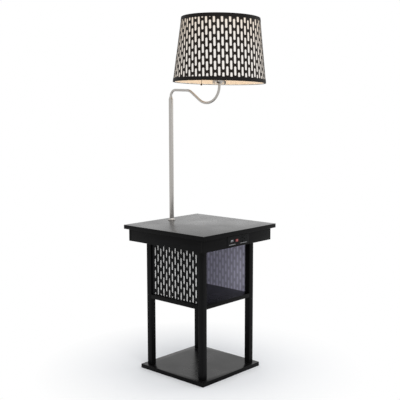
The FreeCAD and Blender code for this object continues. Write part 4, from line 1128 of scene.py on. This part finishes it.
@dataclass
class PowerPanel:
    """Panel in the front apron with a charging port, a lit button and a mains outlet."""

    shop: Joinery
    face: float = -188.0
    level: float = 510.0
    row: float = 511.0
    middle: float = -4.0
    width: float = 118.0
    height: float = 36.0
    proud: float = 1.5
    depth: float = 12.0
    tray_inset: float = 6.1
    window_play: float = 0.5
    port: Tuple[float, float, float] = (-37.0, 13.2, 5.8)
    button: Tuple[float, float, float] = (-12.5, 14.0, 9.0)
    outlet: Tuple[float, float, float] = (26.0, 34.0, 22.0)
    button_proud: float = 1.8
    button_back: float = 9.0
    glow_reach: float = 5.5
    live_slot: Pair = (8.2, 2.2)
    neutral_slot: Pair = (6.8, 2.2)
    slot_offset: Pair = (5.95, 6.35)
    earth_radius: float = 2.6
    slot_depth: float = 9.0
    bar_level: float = 498.0
    bar_height: float = 1.6
    bar_rise: float = 0.05
    bar_widths: Pair = (34.0, 38.0)

    def build(self) -> None:
        """Build and dress the panel's pieces."""
        self.flange()
        self.outlet_face()
        self.push_button()
        self.shop.carry(["charging_port"], "port_metal", STEEL)
        self.shop.carry(["power_module", "cord_gland"], "black_plastic", BLACK_PLASTIC)
        self.printed_bars()

    def flange(self) -> None:
        """Flange and tray with three windows."""
        place = facing_front(0, self.face, 0)
        middle = (self.middle, self.level)
        plate = slab("power_flange", rounded(square(self.width, self.height, middle), 3.0),
                     -self.proud, 0, 0.5, place)
        tray = slab("power_tray",
                    square(self.width - self.tray_inset, self.height - self.tray_inset, middle),
                    -self.depth - self.proud, -self.proud, 0.1, place)
        for piece in (plate, tray):
            cut(piece, [slab("window", square(width + self.window_play, height + self.window_play,
                                              (x, self.row)), -30, 5, 0, place)
                        for x, width, height in (self.port, self.button, self.outlet)])
            self.shop.fit(piece, Body.STAND, "black_plastic", BLACK_PLASTIC, ["power_panel"])

    def outlet_face(self) -> None:
        """Outlet with two blade slots and an earth hole, lying on its side."""
        x, width, height = self.outlet
        place = facing_front(x, self.face, self.row)
        block = slab("outlet_face", rounded(square(width, height), 2.5), -self.depth - self.proud,
                     0, 0.7, place)
        aside, apart = self.slot_offset
        outlines = (square(*self.live_slot, (-aside, apart)),
                    square(*self.neutral_slot, (-aside, -apart)),
                    disc(self.earth_radius, (aside, 0.0)))
        slots = [slab("slot", outline, -self.slot_depth, 2, 0, place) for outline in outlines]
        self.shop.fit(cut(block, slots), Body.STAND, "black_plastic", BLACK_PLASTIC,
                      ["mains_outlet"])

    def push_button(self) -> None:
        """Lit push button."""
        x, width, height = self.button
        place = facing_front(x, self.face, self.row)
        cap = slab("button_cap", rounded(square(width, height), 1.6),
                   -self.button_back - self.proud, self.button_proud, 0.8, place)
        glow = LitButton("red_lit", (x, self.face - self.button_proud, self.row), self.glow_reach)
        self.shop.fit(cap, Body.BUTTON, "red_plastic", glow, ["power_button"])

    def printed_bars(self) -> None:
        """Two plain pale bars printed under the port and the outlet."""
        place = facing_front(0, self.face, 0)
        bars = []
        for over, width in zip((self.port, self.outlet), self.bar_widths):
            outline = square(width, self.bar_height, (over[0], self.bar_level))
            bars.append(slab("bar", outline, 0, self.bar_rise, 0, place))
        self.shop.fit(merge("printed_bars", bars), Body.STAND, "black_plastic", PALE_PRINT)


# ---- lamp --------------------------------------------------------------------------------------


@dataclass
class Pole:
    """Upright pole with its foot flange, reducer and hidden fastenings."""

    shop: Joinery
    place: float = 148.0
    low: float = 548.0
    high: float = 1008.0
    radius: float = 8.5
    wall: float = 1.2

    def build(self) -> None:
        """Build and dress the pole's pieces."""
        here = Matrix.Translation((0, self.place, 0))
        low, high, radius = self.low, self.high, self.radius
        tube = [(radius - self.wall, low), (radius, low), (radius, high),
                (radius - self.wall, high)]
        self.shop.fit(turned("pole_tube_turned", rounded(tube, 0.3), here, 96), Body.STAND,
                      "nickel", NICKEL, ["pole_tube"])
        foot = [(8.55, low), (14.0, low), (14.0, low + 3.0), (12.4, low + 3.9), (10.9, low + 5.6),
                (10.2, low + 9.0), (8.55, low + 9.0)]
        self.shop.fit(turned("pole_flange_turned", rounded(foot, 0.6), here, 96), Body.STAND,
                      "nickel", NICKEL, ["pole_flange"])
        neck = [(4.8, high - 12), (7.25, high - 12), (7.25, high), (radius, high),
                (radius, high + 1.5), (7.6, high + 4.0), (6.6, high + 8.0), (6.2, high + 11.0),
                (4.8, high + 11.0)]
        self.shop.fit(turned("pole_reducer_turned", rounded(neck, 0.4), here, 96), Body.STAND,
                      "nickel", NICKEL, ["pole_reducer"])
        self.shop.carry(["pole_plug", "pole_rod", "pole_washer", "pole_nut"], "zinc_steel", STEEL)
        self.shop.carry(["arm_bush"], "nylon", NYLON)


@dataclass
class SwingArm:
    """Tube that leaves the pole, dips and turns up into the lampholder."""

    shop: Joinery
    pole_place: float = 148.0
    foot: float = 960.3
    pole_top: float = 1008.0
    rise: float = 11.6
    first_bend: float = 24.0
    droop: float = 2.0
    run: float = 59.0
    shoulder: float = 43.0
    slope: float = 33.0
    slope_run: float = 48.0
    bow: float = 61.0
    lean: float = 1.8
    end: float = 4.0
    radius: float = 4.75
    wall: float = 1.0

    def path(self) -> List[Vector]:
        """Points along the middle of the tube."""
        stem = self.pole_top + self.rise - self.foot
        points = walk(Vector((0, self.pole_place, self.foot)), 0.0, [
            (stem,), (self.first_bend, 90 + self.droop), (self.run,), (self.shoulder, self.slope),
            (self.slope_run,), (self.bow, -(90 + self.droop + self.slope))], 1.5)
        base = points[-1]
        lean = math.radians(self.lean)
        for share in (0.5, 1.0):
            turn = lean * share
            way = (self.bow * (1 - math.cos(turn)), 0, self.bow * math.sin(turn))
            points.append(base + Vector(way))
        points.append(points[-1] + Vector((math.sin(lean), 0, math.cos(lean))) * self.end)
        return points

    def head(self) -> Matrix:
        """Frame at the end of the arm, leaning as the lampholder and the shade do."""
        lean = Matrix.Rotation(math.radians(self.lean), 4, "Y")
        return Matrix.Translation(self.path()[-1]) @ lean

    def build(self) -> None:
        """Build and dress the tube."""
        tube = pipe("arm_tube_bent", self.path(), self.radius, self.radius - self.wall, 40)
        self.shop.fit(tube, Body.ARM, "nickel", NICKEL_RUN, ["arm_tube"])


@dataclass
class LampHolder:
    """Holder with its cup, shell and sleeve, the bulb in it, and the pull chain's guide."""

    shop: Joinery
    head: Matrix
    cup_wall: float = 0.9
    cap_foot: float = 31.2
    globe: Pair = (109.2, 30.0)

    def build(self) -> None:
        """Build and dress the holder's pieces."""
        line = rounded([(4.0, 1.2), (8.0, 1.2), (10.5, 3.0), (15.2, 7.6), (16.0, 10.2),
                        (16.0, 14.2)], 2.0, 5, False)
        cup = turned("holder_cup_spun", strip(line, self.cup_wall), self.head, 72)
        self.shop.fit(cup, Body.ARM, "nickel", NICKEL, ["holder_cup"])
        self.shop.carry(["holder_shell"], "phenolic", PHENOLIC)
        self.shop.carry(["holder_sleeve"], "brass", BRASS)
        self.shop.carry(["holder_nipple", "holder_locknut"], "zinc_steel", STEEL)
        self.shop.carry(["harp_saddle", "harp_ferrules", "chain_guide", "harp"], "nickel", NICKEL)
        self.bulb()

    def bulb(self) -> None:
        """Bulb's glass, threaded cap and foot contact."""
        centre, radius = self.globe
        neck = [(12.6, 55.6), (14.2, 56.8), (15.0, 60.0), (15.6, 66.0), (17.6, 75.0), (20.9, 84.0),
                (24.6, 91.6)]
        angles = [math.radians(angle) for angle in range(-24, 91, 6)]
        arc = [(radius * math.cos(angle), centre + radius * math.sin(angle)) for angle in angles]
        glass = turned("bulb_glass", [(0.0, 55.6), *neck, *arc[:-1], (0.0, centre + radius)],
                       self.head, 64, False)
        self.shop.fit(glass, Body.ARM, "bulb_glass", OpalGlass("opal_glass"), ["bulb"])
        thread = [(12.75 + 0.33 * math.cos(2 * math.pi * step / 8), self.cap_foot + 5 + step * 0.45)
                  for step in range(43)]
        foot = self.cap_foot
        shell = [(0, foot + 2.2), (7.5, foot + 2.2), (11.0, foot + 4.4), *thread, (12.9, 55.8),
                 (0, 55.8)]
        cap = turned("bulb_cap", shell, self.head, 64, False)
        self.shop.fit(cap, Body.ARM, "zinc_steel", STEEL)
        contact = [(0, foot), (3.0, foot + 0.3), (4.2, foot + 1.2), (7.4, foot + 2.2),
                   (0, foot + 2.2)]
        tip = turned("bulb_contact", contact, self.head, 32, False)
        self.shop.fit(tip, Body.ARM, "brass", BRASS)


@dataclass
class Shade:
    """Drum shade: pierced black sheet, white lining, black edge trims, wire rings and finial."""

    shop: Joinery
    head: Matrix
    low: float = 4.0
    high: float = 230.5
    skin_low: float = 165.25
    skin_high: float = 139.29
    skin: float = 0.6
    skin_inset: float = 0.8
    liner: float = 1.0
    lining_inset: float = 1.0
    lining_gap: float = 0.05
    pitch: float = 13.72
    period: float = 40.0
    slot_width: float = 7.6
    slot_length: float = 31.0
    turn: float = -115.4
    column_phase: float = 1.45
    row_phase: float = -1.0
    seam: float = 5.0
    trim_height: float = 13.0
    trim_tape: float = 0.55
    trim_out: float = 0.72
    trim_fold: float = 0.9
    trim_corner: float = 0.75
    finial_foot: float = 209.7
    painted_glow_side: float = -135.0
    painted_glow_level: float = 30.0

    def __post_init__(self) -> None:
        """Work out the cone that the sheet lies on."""
        self.half = math.atan2(self.skin_low - self.skin_high, self.high - self.low)
        self.apex = self.low + self.skin_low / math.tan(self.half)

    def build(self) -> None:
        """Build and dress the shade's pieces."""
        pierced = self.pierced_sheet()
        self.shop.fit(pierced, Body.ARM, "shade_black", SHADE_SKIN, ["shade_outer"])
        low, high = self.low + self.lining_inset, self.high - self.lining_inset
        outer, inner = self.skin + self.lining_gap, self.skin + self.liner
        lining = [self.on_cone(low, outer), self.on_cone(high, outer), self.on_cone(high, inner),
                  self.on_cone(low, inner)]
        # Spot on the lining round which its painted glow is brightest.
        angle = math.radians(self.painted_glow_side)
        middle = self.head @ Vector((self.skin_high * math.cos(angle),
                                     self.skin_high * math.sin(angle), self.painted_glow_level))
        glow = GlowingSheet("shade_lining", tuple(middle))
        sheet = turned("shade_lining", rounded(self.levels(lining), 0.05), self.head, 192, True, 50)
        self.shop.fit(sheet, Body.ARM, "shade_white", glow, ["shade_liner"])
        self.trims()
        self.shop.carry(["ring_bottom", "shade_fitter"], "ring_steel", WHITE_WIRE)
        knob = [(0, 0), (3.4, 0), (3.4, 1.0), (2.6, 1.8), (2.6, 2.8), (3.6, 4.2), (4.6, 6.4),
                (4.8, 8.7), (4.3, 11.0), (3.0, 12.8), (1.4, 13.4), (0, 13.5)]
        outline = [(radius, self.finial_foot + level) for radius, level in knob]
        finial = turned("finial_turned", outline, self.head, 48, False)
        self.shop.fit(finial, Body.ARM, "nickel", NICKEL, ["finial"])

    def levels(self, points: Sequence[Pair]) -> List[Pair]:
        """Outline with extra levels up its long sides, so that light spreads evenly over it."""
        (r0, z0), (r1, z1), (r2, z2), (r3, z3) = points
        shares = [step / 12 for step in range(13)]
        return ([(r0 + (r1 - r0) * share, z0 + (z1 - z0) * share) for share in shares]
                + [(r2 + (r3 - r2) * share, z2 + (z3 - z2) * share) for share in shares])

    def on_cone(self, level: float, inside: float = 0.0) -> Pair:
        """Radius and height of a point on the shade.

        Args:
            level: height in the lampholder's frame.
            inside: distance inside the sheet's outer face.

        Returns:
            The radius and the height.
        """
        return ((self.apex - level) * math.tan(self.half) - inside / math.cos(self.half), level)

    def trims(self) -> None:
        """Black tapes folded over both edges."""
        for name, level, way in (("bottom", self.low, 1), ("top", self.high, -1)):
            outer = [self.on_cone(level + way * self.trim_height, -self.trim_out),
                     self.on_cone(level + way * 3, -self.trim_out), self.on_cone(level, -0.5),
                     self.on_cone(level, 5.1), self.on_cone(level + way * self.trim_fold, 5.3)]
            outline = strip(rounded(outer, self.trim_corner, 4, False), -way * self.trim_tape)
            band = turned(f"trim_{name}_folded", outline, self.head, 192, True, 50)
            self.shop.fit(band, Body.ARM, "shade_black", TRIM_TAPE, [f"trim_{name}"])

    def cells(self) -> Tuple[List[Pair], List[List[int]]]:
        """Flat sheet with rounded slots, before it is rolled.

        Returns:
            Its points and its faces.
        """
        index: Dict[Tuple[int, int], int] = {}
        points: List[Pair] = []
        faces: List[List[int]] = []

        def spot(x: float, y: float) -> int:
            """Number of a point, made once."""
            key = (round(x * 1000), round(y * 1000))
            if key not in index:
                index[key] = len(points)
                points.append((x, y))
            return index[key]

        pitch, period, radius = self.pitch, self.period, self.slot_width / 2
        straight = self.slot_length / 2 - radius
        sine = math.sin(self.half)
        edge = math.pi * sine
        far, near = self.apex / math.cos(self.half), (self.apex - self.high) / math.cos(self.half)
        most = far * math.sin(edge) + pitch
        rows = range(int(near * math.cos(edge) / period) - 2, int(far / period) + 2)
        steps = [part * period / 8 for part in range(-4, 5)]
        arcs = [math.radians(angle) for angle in (-60, -30)]
        side = ([(radius * math.cos(a), -straight + radius * math.sin(a)) for a in arcs]
                + [(radius, straight * part) for part in (-1, -0.5, 0, 0.5, 1)]
                + [(radius * math.cos(-a), straight + radius * math.sin(-a)) for a in arcs[::-1]])
        hole = (side + [(0, straight + radius)] + [(-x, y) for x, y in side[::-1]]
                + [(0, -straight - radius)])
        frame = ([(pitch / 2, y) for y in steps] + [(0, period / 2)]
                 + [(-pitch / 2, y) for y in steps[::-1]] + [(0, -period / 2)])
        for column in range(-int(most / pitch) - 1, int(most / pitch) + 2):
            x = self.column_phase + column * pitch
            for row in rows:
                y = self.row_phase + row * period + (period / 2 if column % 2 else 0)
                corners = [(x + a * pitch / 2, y + b * period / 2)
                           for a in (-1, 1) for b in (-1, 1)]
                slants = [math.hypot(*corner) for corner in corners]
                if min(slants) > far or max(slants) < near:
                    continue
                turns = [abs(math.atan2(cx, cy)) for cx, cy in corners]
                if min(turns) > edge:
                    continue
                ends = [math.atan2(x + a * radius, y + b * self.slot_length / 2)
                        for a in (-1, 1) for b in (-1, 1)]
                if min((edge - abs(end)) * y for end in ends) < self.seam:
                    for left, right in ((x - pitch / 2, x), (x, x + pitch / 2)):
                        faces.extend([spot(left, y + lower), spot(right, y + lower),
                                      spot(right, y + upper), spot(left, y + upper)]
                                     for lower, upper in zip(steps, steps[1:]))
                    continue
                for number in range(len(frame)):
                    after = (number + 1) % len(frame)
                    faces.append([spot(x + frame[number][0], y + frame[number][1]),
                                  spot(x + frame[after][0], y + frame[after][1]),
                                  spot(x + hole[after][0], y + hole[after][1]),
                                  spot(x + hole[number][0], y + hole[number][1])])
        return points, faces

    def pierced_sheet(self) -> bpy.types.Object:
        """Black sheet with staggered upright slots, rolled into the cone.

        Returns:
            The new object.
        """
        points, faces = self.cells()
        shape = bmesh.new()
        corners = [shape.verts.new((x, y, 0)) for x, y in points]
        for face in faces:
            shape.faces.new([corners[number] for number in face])
        sine, cosine = math.sin(self.half), math.cos(self.half)
        edge = math.pi * sine
        for side in (-1, 1):
            normal = (side * math.cos(edge), -math.sin(edge), 0)
            bmesh.ops.bisect_plane(shape, geom=[*shape.verts, *shape.edges, *shape.faces],
                                   dist=1e-5, plane_co=(0, 0, 0), plane_no=normal, clear_outer=True)

        def roll(x: float, y: float) -> Vector:
            """Point of the flat sheet on the cone."""
            slant, swing = math.hypot(x, y), math.atan2(x, y)
            azimuth = math.radians(self.turn) + swing / sine
            radius, level = slant * sine, self.apex - slant * cosine
            return Vector((radius * math.cos(azimuth), radius * math.sin(azimuth), level))

        for corner in shape.verts:
            corner.co = roll(corner.co.x, corner.co.y)
        for level, sign in ((self.low + self.skin_inset, -1), (self.high - self.skin_inset, 1)):
            bmesh.ops.bisect_plane(shape, geom=[*shape.verts, *shape.edges, *shape.faces],
                                   dist=1e-5, plane_co=(0, 0, level), plane_no=(0, 0, sign),
                                   clear_outer=True)
        shape.verts.index_update()
        outer = [corner.co.copy() for corner in shape.verts]
        count = len(outer)
        inner = []
        for spot in outer:
            out = Vector((spot.x, spot.y, 0)).normalized()
            inner.append(spot - (out * cosine + Vector((0, 0, sine))) * self.skin)
        quads = [[corner.index for corner in face.verts] for face in shape.faces]
        walls = []
        for line in shape.edges:
            if len(line.link_faces) == 1:
                first, second = (corner.index for corner in line.verts)
                walls.append([first, second, second + count, first + count])
        shape.free()
        both = bmesh.new()
        made = [both.verts.new(spot) for spot in outer + inner]
        for quad in quads:
            both.faces.new([made[number] for number in quad])
            both.faces.new([made[number + count] for number in reversed(quad)])
        for wall in walls:
            both.faces.new([made[number] for number in wall])
        return from_bmesh("shade_sheet_pierced", both, self.head, 50)


@dataclass
class PullSwitch:
    """Beaded pull chain with its knob."""

    shop: Joinery
    head: Matrix
    reach: float = 64.0
    turn: float = 135.0
    bead: float = 1.2
    spacing: float = 3.0
    knob: float = 3.4
    knob_level: float = -4.0
    wire: float = 0.35

    def build(self) -> None:
        """Build and dress the chain."""
        _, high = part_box("pull_chain")
        top = (high.z - self.head.translation.z * MM) / MM
        angle = math.radians(self.turn)
        spot = self.head @ Matrix.Translation((self.reach * math.cos(angle),
                                               self.reach * math.sin(angle), 0))
        pieces = []
        level = self.knob_level + self.knob + 0.9
        wire = [(0, level - 1.5), (self.wire, level - 1.5), (self.wire, top - 0.5), (0, top - 0.5)]
        pieces.append(turned("link", wire, spot, 8, False))
        while level < top - self.bead:
            ball = [(self.bead * math.sin(math.pi * step / 8),
                     level - self.bead * math.cos(math.pi * step / 8)) for step in range(9)]
            pieces.append(turned("bead", ball, spot, 14, False, 60))
            level += self.spacing
        bell = [(self.knob * math.sin(math.pi * step / 14) * (1.0 if step > 5 else 0.96),
                 self.knob_level - self.knob * math.cos(math.pi * step / 14)) for step in range(15)]
        pieces.append(turned("knob", bell, spot, 28, False, 60))
        self.shop.fit(merge("pull_chain_beads", pieces), Body.PULL, "chain", ANTIQUE,
                      ["pull_chain"])


# ---- studio ------------------------------------------------------------------------------------


@dataclass
class Studio:
    """Pale floor, soft lights and the camera."""

    lens: float = 69.43
    yaw: float = -47.41
    pitch: float = 7.05
    roll: float = -0.12
    camera: Triple = (-2.08888, -1.92007, 0.98916)
    sky: float = 0.85
    sky_colour: Triple = (0.95, 0.97, 1.0)
    white: Triple = (1.0, 1.0, 1.0)
    floor_side: float = 24.0
    floor_drop: float = 0.2
    floor_tones: Tuple[Triple, Triple] = ((0.93, 0.93, 0.93), (0.95, 0.95, 0.95))
    fade: Pair = (0.24, 0.62)
    aim: Triple = (0.0, 0.0, 0.6)

    def build(self) -> None:
        """Set up everything round the part."""
        self.world()
        self.floor()
        self.lights()
        self.view()

    def world(self) -> None:
        """White surroundings: full white where the camera or a reflection meets them."""
        world = bpy.data.worlds.new("studio")
        bpy.context.scene.world = world
        world.use_nodes = True
        tree = world.node_tree
        tree.nodes.clear()
        rays = tree.nodes.new("ShaderNodeLightPath")
        seen = rays.outputs["Is Camera Ray"]
        for name in ("Is Glossy Ray", "Is Transmission Ray"):
            either = tree.nodes.new("ShaderNodeMath")
            either.operation = "MAXIMUM"
            tree.links.new(seen, either.inputs[0])
            tree.links.new(rays.outputs[name], either.inputs[1])
            seen = either.outputs[0]
        mix, out = tree.nodes.new("ShaderNodeMixShader"), tree.nodes.new("ShaderNodeOutputWorld")
        tree.links.new(seen, mix.inputs[0])
        for place, colour, strength in ((1, self.sky_colour, self.sky), (2, self.white, 1.0)):
            glow = tree.nodes.new("ShaderNodeBackground")
            glow.inputs["Color"].default_value = (*colour, 1.0)
            glow.inputs["Strength"].default_value = strength
            tree.links.new(glow.outputs[0], mix.inputs[place])
        tree.links.new(mix.outputs[0], out.inputs["Surface"])

    def floor(self) -> None:
        """Pale floor that keeps the shadow near the part and runs out into white."""
        half = self.floor_side / 2 / MM
        corners = [(-half, -half, 0), (half, -half, 0), (half, half, 0), (-half, half, 0)]
        plane = solid("floor", corners, [(0, 1, 2, 3)],
                      Matrix.Translation((0, 0, -self.floor_drop)))
        mix = Recipe("pale_floor")
        share = mix.spread(mix.distance((0.0, 0.0, 0.0)), *self.fade)
        grain = mix.noise(3.0, 2.0)
        mix.main(Base_Color=mix.blend(grain, *self.floor_tones), Roughness=0.7,
                 Specular_IOR_Level=0.2)
        glow = mix.tree.nodes.new("ShaderNodeEmission")
        glow.inputs["Strength"].default_value = 1.0
        both = mix.tree.nodes.new("ShaderNodeMixShader")
        mix.join(both.inputs[0], share)
        mix.join(both.inputs[1], mix.shader.outputs[0])
        mix.join(both.inputs[2], glow.outputs[0])
        mix.join(mix.output.inputs["Surface"], both.outputs[0])
        plane.data.materials.append(mix.material)

    def lights(self) -> None:
        """Two large soft lamps."""
        for name, place, size, power in (("key", (-1.6, -2.6, 2.6), 1.8, 34.0),
                                         ("fill", (2.8, -1.6, 1.8), 2.0, 16.0)):
            lamp = bpy.data.lights.new(name, "AREA")
            lamp.size, lamp.energy = size, power
            thing = bpy.data.objects.new(name, lamp)
            thing.location = place
            way = Vector(self.aim) - Vector(place)
            thing.rotation_euler = way.to_track_quat("-Z", "Y").to_euler()
            bpy.context.scene.collection.objects.link(thing)

    def view(self) -> None:
        """Camera at the viewing angle of the picture."""
        data = bpy.data.cameras.new("view")
        data.lens, data.sensor_width = self.lens, 36.0
        camera = bpy.data.objects.new("view", data)
        yaw, pitch, roll = (math.radians(part) for part in (self.yaw, self.pitch, self.roll))
        back = Vector((math.sin(yaw) * math.cos(pitch), -math.cos(yaw) * math.cos(pitch),
                       math.sin(pitch)))
        right = Vector((math.cos(yaw), math.sin(yaw), 0.0))
        up = back.cross(right)
        level = math.cos(roll) * right + math.sin(roll) * up
        over = math.cos(roll) * up - math.sin(roll) * right
        turn = Matrix((level, over, back)).transposed().to_4x4()
        camera.matrix_world = Matrix.Translation(self.camera) @ turn
        bpy.context.scene.collection.objects.link(camera)
        bpy.context.scene.camera = camera


def bulb_light(holder: LampHolder) -> None:
    """Warm light of the bulb inside the shade, which moves with the arm.

    Args:
        holder: the lampholder with its bulb.
    """
    lamp = bpy.data.lights.new("bulb_light", "POINT")
    lamp.energy, lamp.color, lamp.shadow_soft_size = BULB_POWER, BULB_COLOUR, holder.globe[1] * MM
    thing = bpy.data.objects.new("bulb_light", lamp)
    thing.location = holder.head @ Vector((0, 0, holder.globe[0])) * MM
    bpy.context.scene.collection.objects.link(thing)
    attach(thing, Body.ARM.value)
    bpy.data.objects["bulb_glass"].visible_shadow = False


def main(frame: dict) -> None:
    """Build the part's looks.
    """
    shop = Joinery(frame)
    arm = SwingArm(shop)
    head = arm.head()
    holder = LampHolder(shop, head)
    makers: List[Tuple[str, Callable[[], None]]] = [
        ("table", Carcass(shop).build), ("lattice", LatticeSides(shop).build),
        ("power", PowerPanel(shop).build), ("pole", Pole(shop).build), ("arm", arm.build),
        ("holder", holder.build), ("shade", Shade(shop, head).build),
        ("chain", PullSwitch(shop, head).build), ("studio", Studio().build)]
    for name, maker in makers:
        maker()
        LOG.info("%s is ready", name)
    bulb_light(holder)


if __name__ == "__main__":
    logging.basicConfig(level=logging.INFO, format="%(message)s")
    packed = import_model()
    main(packed)
    bpy.context.scene.view_settings.view_transform = "Standard"
